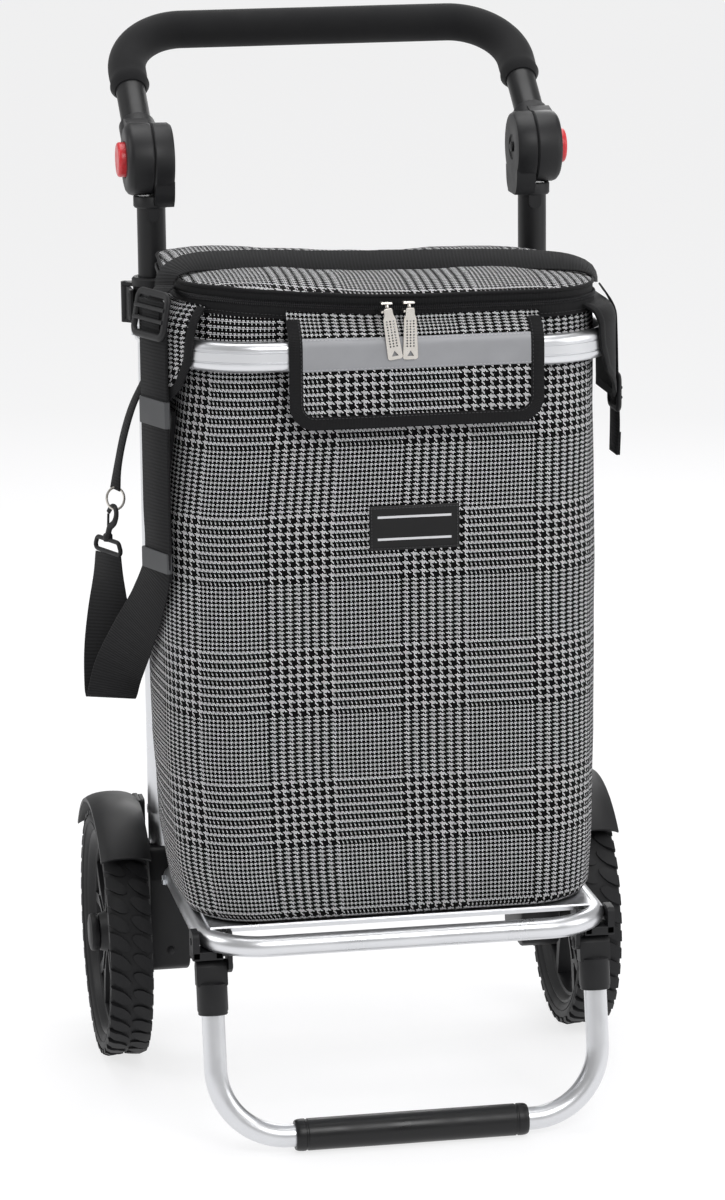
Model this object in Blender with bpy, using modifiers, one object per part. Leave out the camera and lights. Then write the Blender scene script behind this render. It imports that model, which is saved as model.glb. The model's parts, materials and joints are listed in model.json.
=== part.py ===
"""Insulated shopping trolley: an aluminium frame on two rear wheels with a front stand, a telescopic
pivoting handle, two folding hoops and a lift-off insulated bag.

Metres, +Z up, +Y to the rear. Sizes are given from the uprights' plane (Y = 0 in the design) and the
whole object is then shifted so that its bounding box is centred on the origin, wheels on the floor.
"""

import math

import bmesh
import bpy
from mathutils import Matrix, Vector

# ---- clearances and general ----
TOUCH = 0.0003          # gap kept between pieces that touch
RUN = 0.0004            # running gap between a shaft and its bore
CUT = 0.004             # how far a cutter reaches past what it cuts
BOLT_R = 0.003
BOLT_HEAD_R = 0.0055
BOLT_HEAD_LONG = 0.004

# ---- uprights and telescopic legs ----
UPRIGHT_X = 0.190       # centre of each upright from the middle of the trolley
UPRIGHT_R = 0.016
UPRIGHT_WALL = 0.0015
UPRIGHT_LOW = 0.138
UPRIGHT_TOP = 0.775
LEG_R = 0.014
LEG_WALL = 0.0015
LEG_ENGAGED = 0.16      # length of leg inside the upright at rest
CROSS_R = 0.009
CROSS_Z = 0.60
BRACE_R = 0.006
BRACE_Y = -0.021
BRACE_Z = 0.110

# ---- wheels ----
WHEEL_R = 0.125
WHEEL_X = 0.238         # middle of the tyre
TYRE_WIDE = 0.044
TYRE_DEEP = 0.021
RIM_WALL = 0.011
RIM_WIDE = 0.032
HUB_R = 0.020
SPOKES = 5
SPOKE_WIDE = 0.017
SPOKE_THICK = 0.018
AXLE_R = 0.005
AXLE_Y = 0.022
BUSH_WALL = 0.004
CAP_R = 0.019
CAP_LONG = 0.0062

# ---- mudguards ----
FENDER_GAP = 0.014      # from the tread to the guard
FENDER_WIDE = 0.050
FENDER_THICK = 0.003
FENDER_FROM = 47.0      # degrees above the front horizontal
FENDER_TO = 140.0
FENDER_CROWN = 0.006

# ---- wheel brackets ----
BRACKET_INNER = 0.1705
BRACKET_OUTER = 0.2105
BRACKET_FRONT = -0.034
BRACKET_BACK = 0.050
BRACKET_LOW = 0.095
BRACKET_TOP = 0.222
LUG_THICK = 0.0070
LUG_R = 0.0118
STAY_THICK = 0.0038

# ---- lower platform ----
FOLD_Y = -0.077         # both hoops hinge this far ahead of the uprights
PLATFORM_Z = 0.205
PLATFORM_R = 0.010
PLATFORM_FRONT = -0.316
PLATFORM_TAIL = 0.015   # rail behind its hinge
PLATFORM_BEND = 0.055
PLATE_THICK = 0.0015
PLATE_BACK = -0.100
PLATE_FRONT = -0.283

# ---- stand ----
STAND_X = 0.186
STAND_Y = -0.283        # pivot
STAND_DROP = 0.0265     # pivot below the rail
STAND_R = 0.011
STAND_FOOT_Y = -0.316
STAND_BEND = 0.068
SLEEVE_R = 0.0155
SLEEVE_HALF = 0.113
SOCKET_R = 0.0148
SOCKET_FROM = 0.0145    # along the leg from the pivot
SOCKET_TO = 0.046
EYE_R = 0.0078
STAND_CLAMP_HALF = 0.012
STAND_CLAMP_WALL = 0.0045

# ---- upper hoop ----
HOOP_Z = 0.757
HOOP_TALL = 0.028
HOOP_THICK = 0.015
HOOP_X = 0.2105
HOOP_FRONT = -0.2985
HOOP_BEND = 0.085
HOOP_TAIL = 0.012

# ---- collars and levers ----
COLLAR_R = 0.0205
COLLAR_LOW = 0.742
COLLAR_TOP = 0.797
LEVER_THICK = 0.0045
LEVER_LOW = 0.7545
LEVER_TOP = 0.7865
LEVER_FRONT = -0.018
BARREL_Y = 0.0150
BARREL_R = 0.0042
LEVER_PIN_R = 0.002
EAR_TALL = 0.004

# ---- handle ----
PIVOT_Z = 0.912
DISC_R = 0.035
DISC_SPLIT = 0.1895     # between the leg's disc and the arm's disc
DISC_INNER = 0.1690
DISC_OUTER = 0.2155
ARM_X = 0.197
ARM_R = 0.0145
HANDLE_LONG = 0.190
HANDLE_BACK = 55.0      # degrees back from upright
HANDLE_BEND = 0.062
GRIP_R = 0.019
GRIP_FROM = 0.100       # along the arm from the pivot
NECK_WALL = 0.0033
SOCKET_RUN = 0.0145     # length of the arm's socket beyond the disc
BUTTON_R = 0.017
BUTTON_OUT = 0.0070     # how far it stands proud
BUTTON_LONG = 0.0165
BUTTON_TRAVEL = 0.004
BUTTON_WALL = 0.003
SPRING_WIRE = 0.0006
SPRING_R = 0.008
SPRING_TURNS = 3

# ---- bag ----
BAG_BACK = -0.038
BAG_FRONT = -0.288
BAG_LOW = PLATFORM_Z + PLATFORM_R + PLATE_THICK + 0.001   # the bag stands just clear of the plate
BAG_TOP = 0.800
BAG_WALL = 0.006
BAG_MID_Y = -0.160
LUG_TO_BAG = 0.0060     # the bag's rear corner inside the hoop's lug
BAG_FRONT_BEND = 0.065
BAG_REAR_BEND = 0.030
BASE_THICK = 0.003
BASE_INSET = 0.010      # the bag's floor is this much smaller all round than its side
BASE_CLEAR = 0.004
LID_LOW = 0.8035
LID_EDGE = 0.0115
LID_CROWN = 0.0145
FLAP_X = 0.013
FLAP_HALF = 0.119
FLAP_LOW = 0.696
FLAP_THICK = 0.002
EAR_BACK = -0.150
EAR_TURN = 48.0         # degrees round the hoop's front corner
EAR_STEPS = 4
EAR_GAP = 0.0022        # middle of the ear outside the hoop
EAR_TUCK = 0.0009       # and at its top, inside the hoop's outer face
EAR_LOW = 0.700
STRAP_WIDE = 0.045
STRAP_CLEAR = 0.0016     # from the ear to the strap
STRAP_TURN = 22.0       # degrees that the strap faces forward of sideways
STRAP_BACK = 0.0122      # its middle behind where it meets the ear
STRAP_THICK = 0.0040
SIDE_STRAP_Y = -0.207
WEB_WIDE = 0.030
WEB_THICK = 0.002
CARRY_Y = -0.205
ZIP_Z = 0.8055
SLIDER_X = -0.0043      # middle of the two sliders
SLIDER_HALF = 0.0055
SLIDER_STEP = 0.0104
PULL_LONG = 0.047
PULL_HALF = 0.0075
PULL_THICK = 0.0014

ROUND = 20              # sides of a turned piece
TUBE_SIDES = 3          # bevel resolution of a bent tube
ARC_STEPS = 6           # straight pieces in a tube's bend

SIDES = (("left", -1), ("right", 1))


# ---------------------------------------------------------------- scene and materials

for old in list(bpy.data.objects):
    bpy.data.objects.remove(old, do_unlink=True)

TROLLEY = bpy.data.collections.new("shopping_trolley")
CUTTERS = bpy.data.collections.new("cutters")
bpy.context.scene.collection.children.link(TROLLEY)
bpy.context.scene.collection.children.link(CUTTERS)
CUTTERS.hide_render = True


def linear(channel):
    return channel / 12.92 if channel <= 0.04045 else ((channel + 0.055) / 1.055) ** 2.4


def material(name, hexcolour, metallic, roughness):
    made = bpy.data.materials.new(name)
    made.use_nodes = True
    shader = made.node_tree.nodes["Principled BSDF"]
    rgb = [linear(int(hexcolour[i:i + 2], 16) / 255) for i in (0, 2, 4)]
    shader.inputs["Base Color"].default_value = (*rgb, 1)
    shader.inputs["Metallic"].default_value = metallic
    shader.inputs["Roughness"].default_value = roughness
    return made


FINISH = {
    "aluminium": ("d9dadc", 1.0, 0.35),
    "steel": ("b9bbbe", 1.0, 0.3),
    "black_tube": ("17181a", 0.6, 0.4),
    "black_plastic": ("1b1c1e", 0.0, 0.45),
    "red_plastic": ("b51e22", 0.0, 0.35),
    "foam": ("1a1b1c", 0.0, 0.85),
    "rubber": ("202123", 0.0, 0.75),
    "fabric": ("77787c", 0.0, 0.9),
    "webbing": ("151517", 0.0, 0.8),
    "nickel": ("c9c8c4", 1.0, 0.25),
    "board": ("2a2b2d", 0.0, 0.7),
}


def empty(name, at, parent=None):
    """An empty at a place in design coordinates; a body's empty sits on its joint's axis."""
    made = bpy.data.objects.new(name, None)
    made.empty_display_size = 0.02
    TROLLEY.objects.link(made)
    made["at"] = tuple(at)
    made.parent = parent
    made.location = Vector(at) - (Vector(parent["at"]) if parent else Vector())
    return made


def hang(piece, body, finish):
    """Parents a piece whose mesh is in design coordinates to its body's empty, and colours it."""
    piece.data.transform(Matrix.Translation(-Vector(body["at"])))
    piece.parent = body
    piece.data.materials.clear()
    piece.data.materials.append(material(f"{piece.name}_{finish}", *FINISH[finish]))
    return piece


# ---------------------------------------------------------------- shape helpers

def mesh_object(name, bm):
    data = bpy.data.meshes.new(name)
    bm.to_mesh(data)
    bm.free()
    made = bpy.data.objects.new(name, data)
    TROLLEY.objects.link(made)
    return made


def as_cutter(piece):
    TROLLEY.objects.unlink(piece)
    CUTTERS.objects.link(piece)
    piece.hide_render = True
    piece.display_type = "WIRE"
    return piece


def baked(piece):
    """The piece with its modifiers or curve made a plain closed mesh, in the same place."""
    graph = bpy.context.evaluated_depsgraph_get()
    bpy.context.view_layer.update()
    data = bpy.data.meshes.new_from_object(piece.evaluated_get(graph))
    data.transform(piece.matrix_world)
    bm = bmesh.new()
    bm.from_mesh(data)
    bmesh.ops.remove_doubles(bm, verts=bm.verts, dist=1e-5)
    bmesh.ops.recalc_face_normals(bm, faces=bm.faces)
    bpy.data.meshes.remove(data)
    name = piece.name
    bpy.data.objects.remove(piece, do_unlink=True)
    return mesh_object(name, bm)


def combined(piece, other, operation):
    step = piece.modifiers.new(operation.lower(), "BOOLEAN")
    step.operation = operation
    step.object = as_cutter(other)
    made = baked(piece)
    bpy.data.objects.remove(other, do_unlink=True)
    return made


def cut(piece, other):
    return combined(piece, other, "DIFFERENCE")


def join(piece, other):
    return combined(piece, other, "UNION")


def box(name, xs, ys, zs, bevel=0.0):
    """A box between pairs of coordinates, given in either order."""
    bm = bmesh.new()
    bmesh.ops.create_cube(bm, size=1)
    spans = [sorted(pair) for pair in (xs, ys, zs)]
    for vert in bm.verts:
        for axis, (low, high) in enumerate(spans):
            vert.co[axis] = low if vert.co[axis] < 0 else high
    if bevel:
        bmesh.ops.bevel(bm, geom=list(bm.edges), offset=bevel, segments=2, profile=0.5, affect="EDGES")
    return mesh_object(name, bm)


def turned(name, profile, axis, at, ring=False, sides=ROUND):
    """A profile of (radius, along) points turned about an axis through a point, as a Screw makes it."""
    bm = bmesh.new()
    verts = [bm.verts.new((radius, 0, along)) for radius, along in profile]
    for first, second in zip(verts, verts[1:]):
        bm.edges.new((first, second))
    if ring:
        bm.edges.new((verts[-1], verts[0]))
    piece = mesh_object(name, bm)
    screw = piece.modifiers.new("turn", "SCREW")
    screw.steps = screw.render_steps = sides
    screw.use_merge_vertices = True
    screw.merge_threshold = 0.00001
    if axis == "X":
        piece.rotation_euler = (0, math.radians(90), 0)
    elif axis != "Z":
        piece.rotation_euler = Vector((0, 0, 1)).rotation_difference(Vector(axis)).to_euler()
    piece.location = at
    bpy.context.view_layer.update()
    return baked(piece)


def rod(name, radius, low, high, axis, at, sides=ROUND):
    return turned(name, [(0, high), (radius, high), (radius, low), (0, low)], axis, at, sides=sides)


def pipe(name, inner, outer, low, high, axis, at, sides=ROUND):
    return turned(
        name, [(inner, high), (outer, high), (outer, low), (inner, low)], axis, at, True, sides
    )


def rounded_path(corners, bends, steps=ARC_STEPS, closed=False):
    """The corners joined by straight runs, each inner corner replaced by an arc of its own radius."""
    points = []
    count = len(corners)
    for i, corner in enumerate(corners):
        corner = Vector(corner)
        if not closed and i in (0, count - 1) or not bends[i]:
            points.append(corner)
            continue
        back = (Vector(corners[i - 1]) - corner).normalized()
        ahead = (Vector(corners[(i + 1) % count]) - corner).normalized()
        half = back.angle(ahead) / 2
        middle = corner + (back + ahead).normalized() * bends[i] / math.sin(half)
        start = corner + back * bends[i] / math.tan(half) - middle
        end = corner + ahead * bends[i] / math.tan(half) - middle
        for k in range(steps + 1):
            spoke = start.normalized().slerp(end.normalized(), k / steps)
            points.append(middle + spoke * bends[i])
    return points


def bent_tube(name, points, radius, sides=TUBE_SIDES):
    """A round tube along the points, made a closed mesh."""
    data = bpy.data.curves.new(name, "CURVE")
    data.dimensions = "3D"
    data.bevel_depth = radius
    data.bevel_resolution = sides
    data.use_fill_caps = True
    data.twist_mode = "MINIMUM"
    spline = data.splines.new("POLY")
    spline.points.add(len(points) - 1)
    for place, point in zip(spline.points, points):
        place.co = (*point, 1)
    piece = bpy.data.objects.new(name, data)
    TROLLEY.objects.link(piece)
    bpy.context.view_layer.update()
    return baked(piece)


def shell_of_rings(bm, rings, cap_first, cap_last):
    """Faces between rings of points that all have the same count, and over the chosen ends."""
    rows = [[bm.verts.new(point) for point in ring] for ring in rings]
    count = len(rings[0])
    for lower, upper in zip(rows, rows[1:]):
        for i in range(count):
            bm.faces.new((lower[i], lower[(i + 1) % count], upper[(i + 1) % count], upper[i]))
    if cap_first:
        bm.faces.new(rows[0][::-1])
    if cap_last:
        bm.faces.new(rows[-1])


def swept_band(name, centre, wide_axis, wide, thick, normals):
    """A flat strip of a set width and thickness along a row of points, as a closed solid."""
    bm = bmesh.new()
    wide_axis = Vector(wide_axis).normalized() * wide / 2
    rings = []
    for point, normal in zip(centre, normals):
        out = Vector(normal).normalized() * thick / 2
        rings.append([
            Vector(point) - wide_axis - out, Vector(point) + wide_axis - out,
            Vector(point) + wide_axis + out, Vector(point) - wide_axis + out,
        ])
    shell_of_rings(bm, rings, True, True)
    bmesh.ops.recalc_face_normals(bm, faces=bm.faces)
    return mesh_object(name, bm)


# ---------------------------------------------------------------- frame

BACK_REACH = max(
    AXLE_Y + WHEEL_R + FENDER_GAP + FENDER_THICK,
    HANDLE_LONG * math.sin(math.radians(HANDLE_BACK)) + GRIP_R,
)
FRONT_REACH = min(STAND_FOOT_Y - SLEEVE_R, PLATFORM_FRONT - PLATFORM_R)
ORIGIN_Y = -(BACK_REACH + FRONT_REACH) / 2

trolley = empty("trolley", (0, 0, 0))
trolley.location = (0, ORIGIN_Y, 0)
frame = empty("frame", (0, 0, 0), trolley)


def make_uprights():
    for side, sign in SIDES:
        upright = pipe(
            f"upright_{side}", UPRIGHT_R - UPRIGHT_WALL, UPRIGHT_R, UPRIGHT_LOW, UPRIGHT_TOP,
            "Z", (sign * UPRIGHT_X, 0, 0),
        )
        hang(upright, frame, "aluminium")
    reach = UPRIGHT_X - UPRIGHT_R - TOUCH
    hang(rod("cross_tube", CROSS_R, -reach, reach, "X", (0, 0, CROSS_Z)), frame, "aluminium")
    reach = BRACKET_INNER - TOUCH
    hang(rod("brace_bar", BRACE_R, -reach, reach, "X", (0, BRACE_Y, BRACE_Z)), frame, "black_tube")


def make_axle():
    reach = WHEEL_X + TYRE_WIDE / 2 + 0.0005
    hang(rod("axle", AXLE_R, -reach, reach, "X", (0, AXLE_Y, WHEEL_R)), frame, "steel")


def make_brackets():
    """Plastic mouldings that hold the upright, the axle and the mudguard, with a lug for the platform."""
    for side, sign in SIDES:
        x = sign * UPRIGHT_X
        piece = box(
            f"wheel_bracket_{side}", (sign * BRACKET_INNER, sign * BRACKET_OUTER),
            (BRACKET_FRONT, BRACKET_BACK), (BRACKET_LOW, BRACKET_TOP), bevel=0.004,
        )
        lug_outer = sign * (BRACKET_INNER + LUG_THICK)
        arm = box(
            "arm", (sign * BRACKET_INNER, lug_outer), (FOLD_Y, BRACKET_FRONT + CUT),
            (PLATFORM_Z - LUG_R, PLATFORM_Z + LUG_R),
        )
        piece = join(piece, arm)
        low, high = sorted((BRACKET_INNER * sign, lug_outer))
        piece = join(piece, rod("boss", LUG_R, low, high, "X", (0, FOLD_Y, PLATFORM_Z)))
        stay = box(
            "stay", (sign * (BRACKET_OUTER - STAY_THICK), sign * BRACKET_OUTER), (0.018, 0.044),
            (BRACKET_TOP - 0.01, WHEEL_R + WHEEL_R + FENDER_GAP - 0.001),
        )
        piece = join(piece, stay)
        bore = rod("bore", UPRIGHT_R + TOUCH, UPRIGHT_LOW - TOUCH, BRACKET_TOP + 0.1, "Z", (x, 0, 0))
        piece = cut(piece, bore)
        piece = cut(piece, rod("bore", AXLE_R + TOUCH, -1, 1, "X", (x, AXLE_Y, WHEEL_R)))
        piece = cut(piece, rod("bore", BOLT_R + TOUCH, -0.05, 0.05, "X", (x, FOLD_Y, PLATFORM_Z)))
        hang(piece, frame, "black_plastic")
        bolt_from_to(
            f"platform_hinge_bolt_{side}", sign, BRACKET_INNER, UPRIGHT_X + PLATFORM_R,
            (FOLD_Y, PLATFORM_Z),
        )


def bolt_from_to(name, sign, inner, outer, place, inner_head=True):
    """A bolt along X with its nut on the outer face, and its head on the inner one or flush with it."""
    outer += TOUCH
    profile = [(0, outer + BOLT_HEAD_LONG), (BOLT_HEAD_R, outer + BOLT_HEAD_LONG), (BOLT_HEAD_R, outer)]
    if inner_head:
        inner -= TOUCH
        profile += [
            (BOLT_R, outer), (BOLT_R, inner), (BOLT_HEAD_R, inner),
            (BOLT_HEAD_R, inner - BOLT_HEAD_LONG), (0, inner - BOLT_HEAD_LONG),
        ]
    else:
        profile += [(BOLT_R, outer), (BOLT_R, inner), (0, inner)]
    if sign < 0:
        profile = [(radius, -along) for radius, along in reversed(profile)]
    hang(turned(name, profile, "X", (0, *place), sides=12), frame, "steel")


def make_fenders():
    """Mudguards: crowned arcs over the wheels with a tab that meets the bracket's stay."""
    inner_r = WHEEL_R + FENDER_GAP
    steps, across = 14, 6
    for side, sign in SIDES:
        bm = bmesh.new()
        rows = []
        for i in range(steps + 1):
            angle = math.radians(FENDER_FROM + (FENDER_TO - FENDER_FROM) * i / steps)
            row = []
            for k in range(across + 1):
                u = 2 * k / across - 1
                radius = inner_r + FENDER_THICK - FENDER_CROWN * u * u
                row.append(bm.verts.new((
                    sign * WHEEL_X + u * FENDER_WIDE / 2,
                    AXLE_Y - radius * math.cos(angle), WHEEL_R + radius * math.sin(angle),
                )))
            rows.append(row)
        for first, second in zip(rows, rows[1:]):
            for k in range(across):
                bm.faces.new((first[k], first[k + 1], second[k + 1], second[k]))
        bmesh.ops.recalc_face_normals(bm, faces=bm.faces)
        piece = mesh_object(f"fender_{side}", bm)
        if piece.data.polygons[0].normal.z < 0:
            piece.data.flip_normals()
        wall = piece.modifiers.new("wall", "SOLIDIFY")
        wall.thickness = FENDER_THICK
        wall.offset = -1
        piece = baked(piece)
        tab_x = BRACKET_OUTER + TOUCH
        tab = box(
            "tab", (sign * tab_x, sign * (WHEEL_X - FENDER_WIDE / 2 + 0.0020)), (0.016, 0.046),
            (WHEEL_R + WHEEL_R - 0.018, WHEEL_R + inner_r - 0.004),
        )
        hang(join(piece, tab), frame, "black_plastic")


def make_collars():
    """Clamp collars on the uprights' tops, with the lug for the upper hoop and ears for the lever."""
    for side, sign in SIDES:
        x = sign * UPRIGHT_X
        grip = LEG_R + RUN
        hold = UPRIGHT_R + TOUCH
        top = UPRIGHT_TOP + TOUCH
        piece = turned(
            f"clamp_collar_{side}",
            [(grip, COLLAR_TOP), (COLLAR_R, COLLAR_TOP), (COLLAR_R, COLLAR_LOW), (hold, COLLAR_LOW),
             (hold, top), (grip, top)],
            "Z", (x, 0, 0), True, 24,
        )
        lug_outer = HOOP_X - HOOP_THICK / 2 - 2 * TOUCH
        lug_inner = lug_outer - LUG_THICK * 0.8
        lug = box(
            "lug", (sign * lug_inner, sign * lug_outer), (FOLD_Y, -UPRIGHT_R + 0.001),
            (HOOP_Z - LUG_R, HOOP_Z + LUG_R),
        )
        piece = join(piece, lug)
        low, high = sorted((sign * lug_inner, sign * lug_outer))
        piece = join(piece, rod("boss", LUG_R, low, high, "X", (0, FOLD_Y, HOOP_Z)))
        piece = cut(piece, rod("bore", BOLT_R + TOUCH, -0.05, 0.05, "X", (x, FOLD_Y, HOOP_Z)))
        piece = cut(piece, rod("bore", hold, COLLAR_LOW - CUT, top, "Z", (x, 0, 0), 24))
        pin_x = lever_pin_x(sign)
        for low, high in ((LEVER_LOW - EAR_TALL, LEVER_LOW - RUN), (LEVER_TOP + RUN, LEVER_TOP + EAR_TALL)):
            ear = box(
                "ear", (sign * (UPRIGHT_X + COLLAR_R - 0.006), pin_x + sign * BARREL_R),
                (BARREL_Y - BARREL_R, BARREL_Y + BARREL_R), (low, high),
            )
            piece = join(piece, ear)
        pin = rod("pin", LEVER_PIN_R, LEVER_LOW - EAR_TALL / 2, LEVER_TOP + EAR_TALL / 2,
                  "Z", (pin_x, BARREL_Y, 0), 10)
        hang(join(piece, pin), frame, "black_plastic")
        bolt_from_to(
            f"hoop_hinge_bolt_{side}", sign, lug_inner, HOOP_X + HOOP_THICK / 2, (FOLD_Y, HOOP_Z),
            inner_head=False,
        )


def lever_pin_x(sign):
    return sign * (UPRIGHT_X + COLLAR_R + 2 * TOUCH + LEVER_THICK - BARREL_R + 0.0040)


def make_levers():
    for side, sign in SIDES:
        pin_x = lever_pin_x(sign)
        body = empty(f"clamp_lever_{side}_axis", (pin_x, BARREL_Y, (LEVER_LOW + LEVER_TOP) / 2), frame)
        inner = UPRIGHT_X + COLLAR_R + 2 * TOUCH
        plate = box(
            f"clamp_lever_{side}", (sign * inner, sign * (inner + LEVER_THICK)), (LEVER_FRONT, BARREL_Y),
            (LEVER_LOW, LEVER_TOP), bevel=0.001,
        )
        barrel = rod("barrel", BARREL_R, LEVER_LOW, LEVER_TOP, "Z", (pin_x, BARREL_Y, 0), 14)
        piece = join(plate, barrel)
        piece = cut(piece, rod("bore", LEVER_PIN_R + RUN, 0, 1, "Z", (pin_x, BARREL_Y, 0), 10))
        hang(piece, body, "black_plastic")


# ---------------------------------------------------------------- wheels

def make_wheels():
    bush_outer = AXLE_R + RUN + BUSH_WALL
    for side, sign in SIDES:
        centre = (sign * WHEEL_X, AXLE_Y, WHEEL_R)
        body = empty(f"wheel_{side}_axis", centre, trolley)
        half, rim_half, rim_r = TYRE_WIDE / 2, RIM_WIDE / 2, WHEEL_R - TYRE_DEEP
        tyre = turned(
            f"tyre_{side}",
            [(rim_r, half * 0.75), (rim_r + 0.010, half), (WHEEL_R - 0.007, half), (WHEEL_R, half * 0.6),
             (WHEEL_R, -half * 0.6), (WHEEL_R - 0.007, -half), (rim_r + 0.010, -half), (rim_r, -half * 0.75)],
            "X", centre, True, 40,
        )
        hang(tyre, body, "rubber")
        rim = pipe(f"rim_{side}", rim_r - RIM_WALL, rim_r - TOUCH, -rim_half, rim_half, "X", centre, 40)
        for i in range(SPOKES):
            spoke = box(
                "spoke", (-SPOKE_THICK / 2, SPOKE_THICK / 2), (-SPOKE_WIDE / 2, SPOKE_WIDE / 2),
                (0, rim_r - RIM_WALL * 0.6),
            )
            turn = Matrix.Rotation(math.tau * i / SPOKES, 4, "X")
            spoke.data.transform(Matrix.Translation(centre) @ turn)
            rim = join(rim, spoke)
        low, high = sorted((-sign * (half - 0.002), sign * (half - 0.003)))
        rim = join(rim, rod("hub", HUB_R, low, high, "X", centre, 24))
        rim = cut(rim, rod("bore", bush_outer + TOUCH, -0.05, 0.05, "X", centre, 16))
        hang(rim, body, "black_plastic")
        low, high = sorted((-sign * (half - 0.002), sign * (half - 0.0035)))
        hang(pipe(f"wheel_bush_{side}", AXLE_R + RUN, bush_outer, low, high, "X", centre, 16), body, "steel")
        start = WHEEL_X + half - 0.003 + TOUCH
        pocket = WHEEL_X + half + 0.0005 + 2 * RUN
        profile = [
            (0, start + CAP_LONG + 0.003), (CAP_R - 0.003, start + CAP_LONG + 0.003),
            (CAP_R, start + CAP_LONG), (CAP_R, start), (AXLE_R + RUN, start), (AXLE_R + RUN, pocket),
            (0, pocket),
        ]
        if sign < 0:
            profile = [(radius, -along) for radius, along in reversed(profile)]
        hang(turned(f"hub_cap_{side}", profile, "X", (0, AXLE_Y, WHEEL_R)), body, "black_plastic")


# ---------------------------------------------------------------- telescopic legs and handle

def make_legs():
    body = empty("telescope", (0, 0, COLLAR_TOP), trolley)
    top = PIVOT_Z - DISC_R - 0.0010
    for side, sign in SIDES:
        x = sign * UPRIGHT_X
        leg = pipe(f"leg_{side}", LEG_R - LEG_WALL, LEG_R, UPRIGHT_TOP - LEG_ENGAGED, top, "Z", (x, 0, 0))
        hang(leg, body, "black_tube")
        low, high = sorted((sign * DISC_INNER, sign * (DISC_SPLIT - RUN / 2)))
        piece = rod(f"lower_housing_{side}", DISC_R, low, high, "X", (0, 0, PIVOT_Z), 28)
        neck_low, neck_top = PIVOT_Z - DISC_R - 0.012, PIVOT_Z - DISC_R - RUN
        neck = rod("neck", LEG_R + NECK_WALL, neck_low, neck_top, "Z", (x, 0, 0))
        piece = join(piece, neck)
        inside = sorted((sign * DISC_INNER, sign * (DISC_SPLIT - RUN / 2)))
        web = box("web", inside, (-LEG_R, LEG_R), (neck_low + 0.004, PIVOT_Z - DISC_R / 2))
        piece = join(piece, web)
        piece = cut(piece, rod("bore", LEG_R + TOUCH, 0.5, top + TOUCH, "Z", (x, 0, 0)))
        hang(piece, body, "black_plastic")
    return body


def make_handle(legs):
    body = empty("handle", (0, 0, PIVOT_Z), legs)
    lean = math.radians(HANDLE_BACK)
    along = Vector((0, math.sin(lean), math.cos(lean)))
    pivot = Vector((0, 0, PIVOT_Z))
    across = Vector((ARM_X, 0, 0))
    tube_from = DISC_R + 0.0015
    corners = [
        pivot - across + along * tube_from, pivot - across + along * HANDLE_LONG,
        pivot + across + along * HANDLE_LONG, pivot + across + along * tube_from,
    ]
    bends = [0, HANDLE_BEND, HANDLE_BEND, 0]
    tube = bent_tube("handle_tube", rounded_path(corners, bends, 8), ARM_R, 4)
    hang(tube, body, "black_tube")
    corners[0] = pivot - across + along * GRIP_FROM
    corners[3] = pivot + across + along * GRIP_FROM
    grip = bent_tube("grip_foam", rounded_path(corners, bends, 8), GRIP_R, 4)
    corners[0] = corners[0] - along * CUT
    corners[3] = corners[3] - along * CUT
    grip = cut(grip, bent_tube("bore", rounded_path(corners, bends, 8), ARM_R + 2 * TOUCH, 4))
    hang(grip, body, "foam")
    for side, sign in SIDES:
        low, high = sorted((sign * (DISC_SPLIT + RUN / 2), sign * DISC_OUTER))
        piece = rod(f"upper_housing_{side}", DISC_R, low, high, "X", (0, 0, PIVOT_Z), 28)
        root = pivot + sign * across
        socket_r = ARM_R + NECK_WALL
        socket = rod(
            "socket", socket_r, DISC_R + RUN, DISC_R + SOCKET_RUN, along, root, 20
        )
        piece = join(piece, socket)
        web = box(
            "web", (sign * (DISC_SPLIT + RUN / 2), sign * (ARM_X + socket_r - 0.002)), (-ARM_R, ARM_R),
            (DISC_R / 2, DISC_R + SOCKET_RUN * 0.6),
        )
        web.data.transform(Matrix.Translation(pivot) @ Matrix.Rotation(-lean, 4, "X"))
        piece = join(piece, web)
        bore = rod("bore", ARM_R + TOUCH, tube_from - TOUCH, HANDLE_LONG, along, root, 20)
        piece = cut(piece, bore)
        pocket_floor = DISC_OUTER + BUTTON_OUT - BUTTON_LONG - BUTTON_TRAVEL - 0.0025
        low, high = sorted((sign * pocket_floor, sign * (DISC_OUTER + CUT)))
        piece = cut(piece, rod("pocket", BUTTON_R + RUN, low, high, "X", (0, 0, PIVOT_Z), 24))
        hang(piece, body, "black_plastic")
        make_button(side, sign, pocket_floor, body)


def make_button(side, sign, pocket_floor, handle):
    """A cup-shaped push-button over its return spring."""
    face = DISC_OUTER + BUTTON_OUT
    back = face - BUTTON_LONG
    body = empty(f"button_{side}_axis", (sign * face, 0, PIVOT_Z), handle)
    inner_r = BUTTON_R - BUTTON_WALL
    profile = [
        (0, face), (BUTTON_R - 0.002, face), (BUTTON_R, face - 0.002), (BUTTON_R, back),
        (inner_r, back), (inner_r, face - BUTTON_WALL), (0, face - BUTTON_WALL),
    ]
    if sign < 0:
        profile = [(radius, -along) for radius, along in reversed(profile)]
    hang(turned(f"button_{side}", profile, "X", (0, 0, PIVOT_Z), sides=24), body, "red_plastic")
    start = pocket_floor + SPRING_WIRE + TOUCH
    end = face - BUTTON_WALL - SPRING_WIRE - TOUCH
    steps = SPRING_TURNS * 10
    points = []
    for i in range(steps + 1):
        angle = math.tau * SPRING_TURNS * i / steps
        points.append((
            sign * (start + (end - start) * i / steps),
            SPRING_R * math.cos(angle), PIVOT_Z + SPRING_R * math.sin(angle),
        ))
    hang(bent_tube(f"button_spring_{side}", points, SPRING_WIRE, 0), handle, "steel")


# ---------------------------------------------------------------- platform, stand and upper hoop

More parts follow.
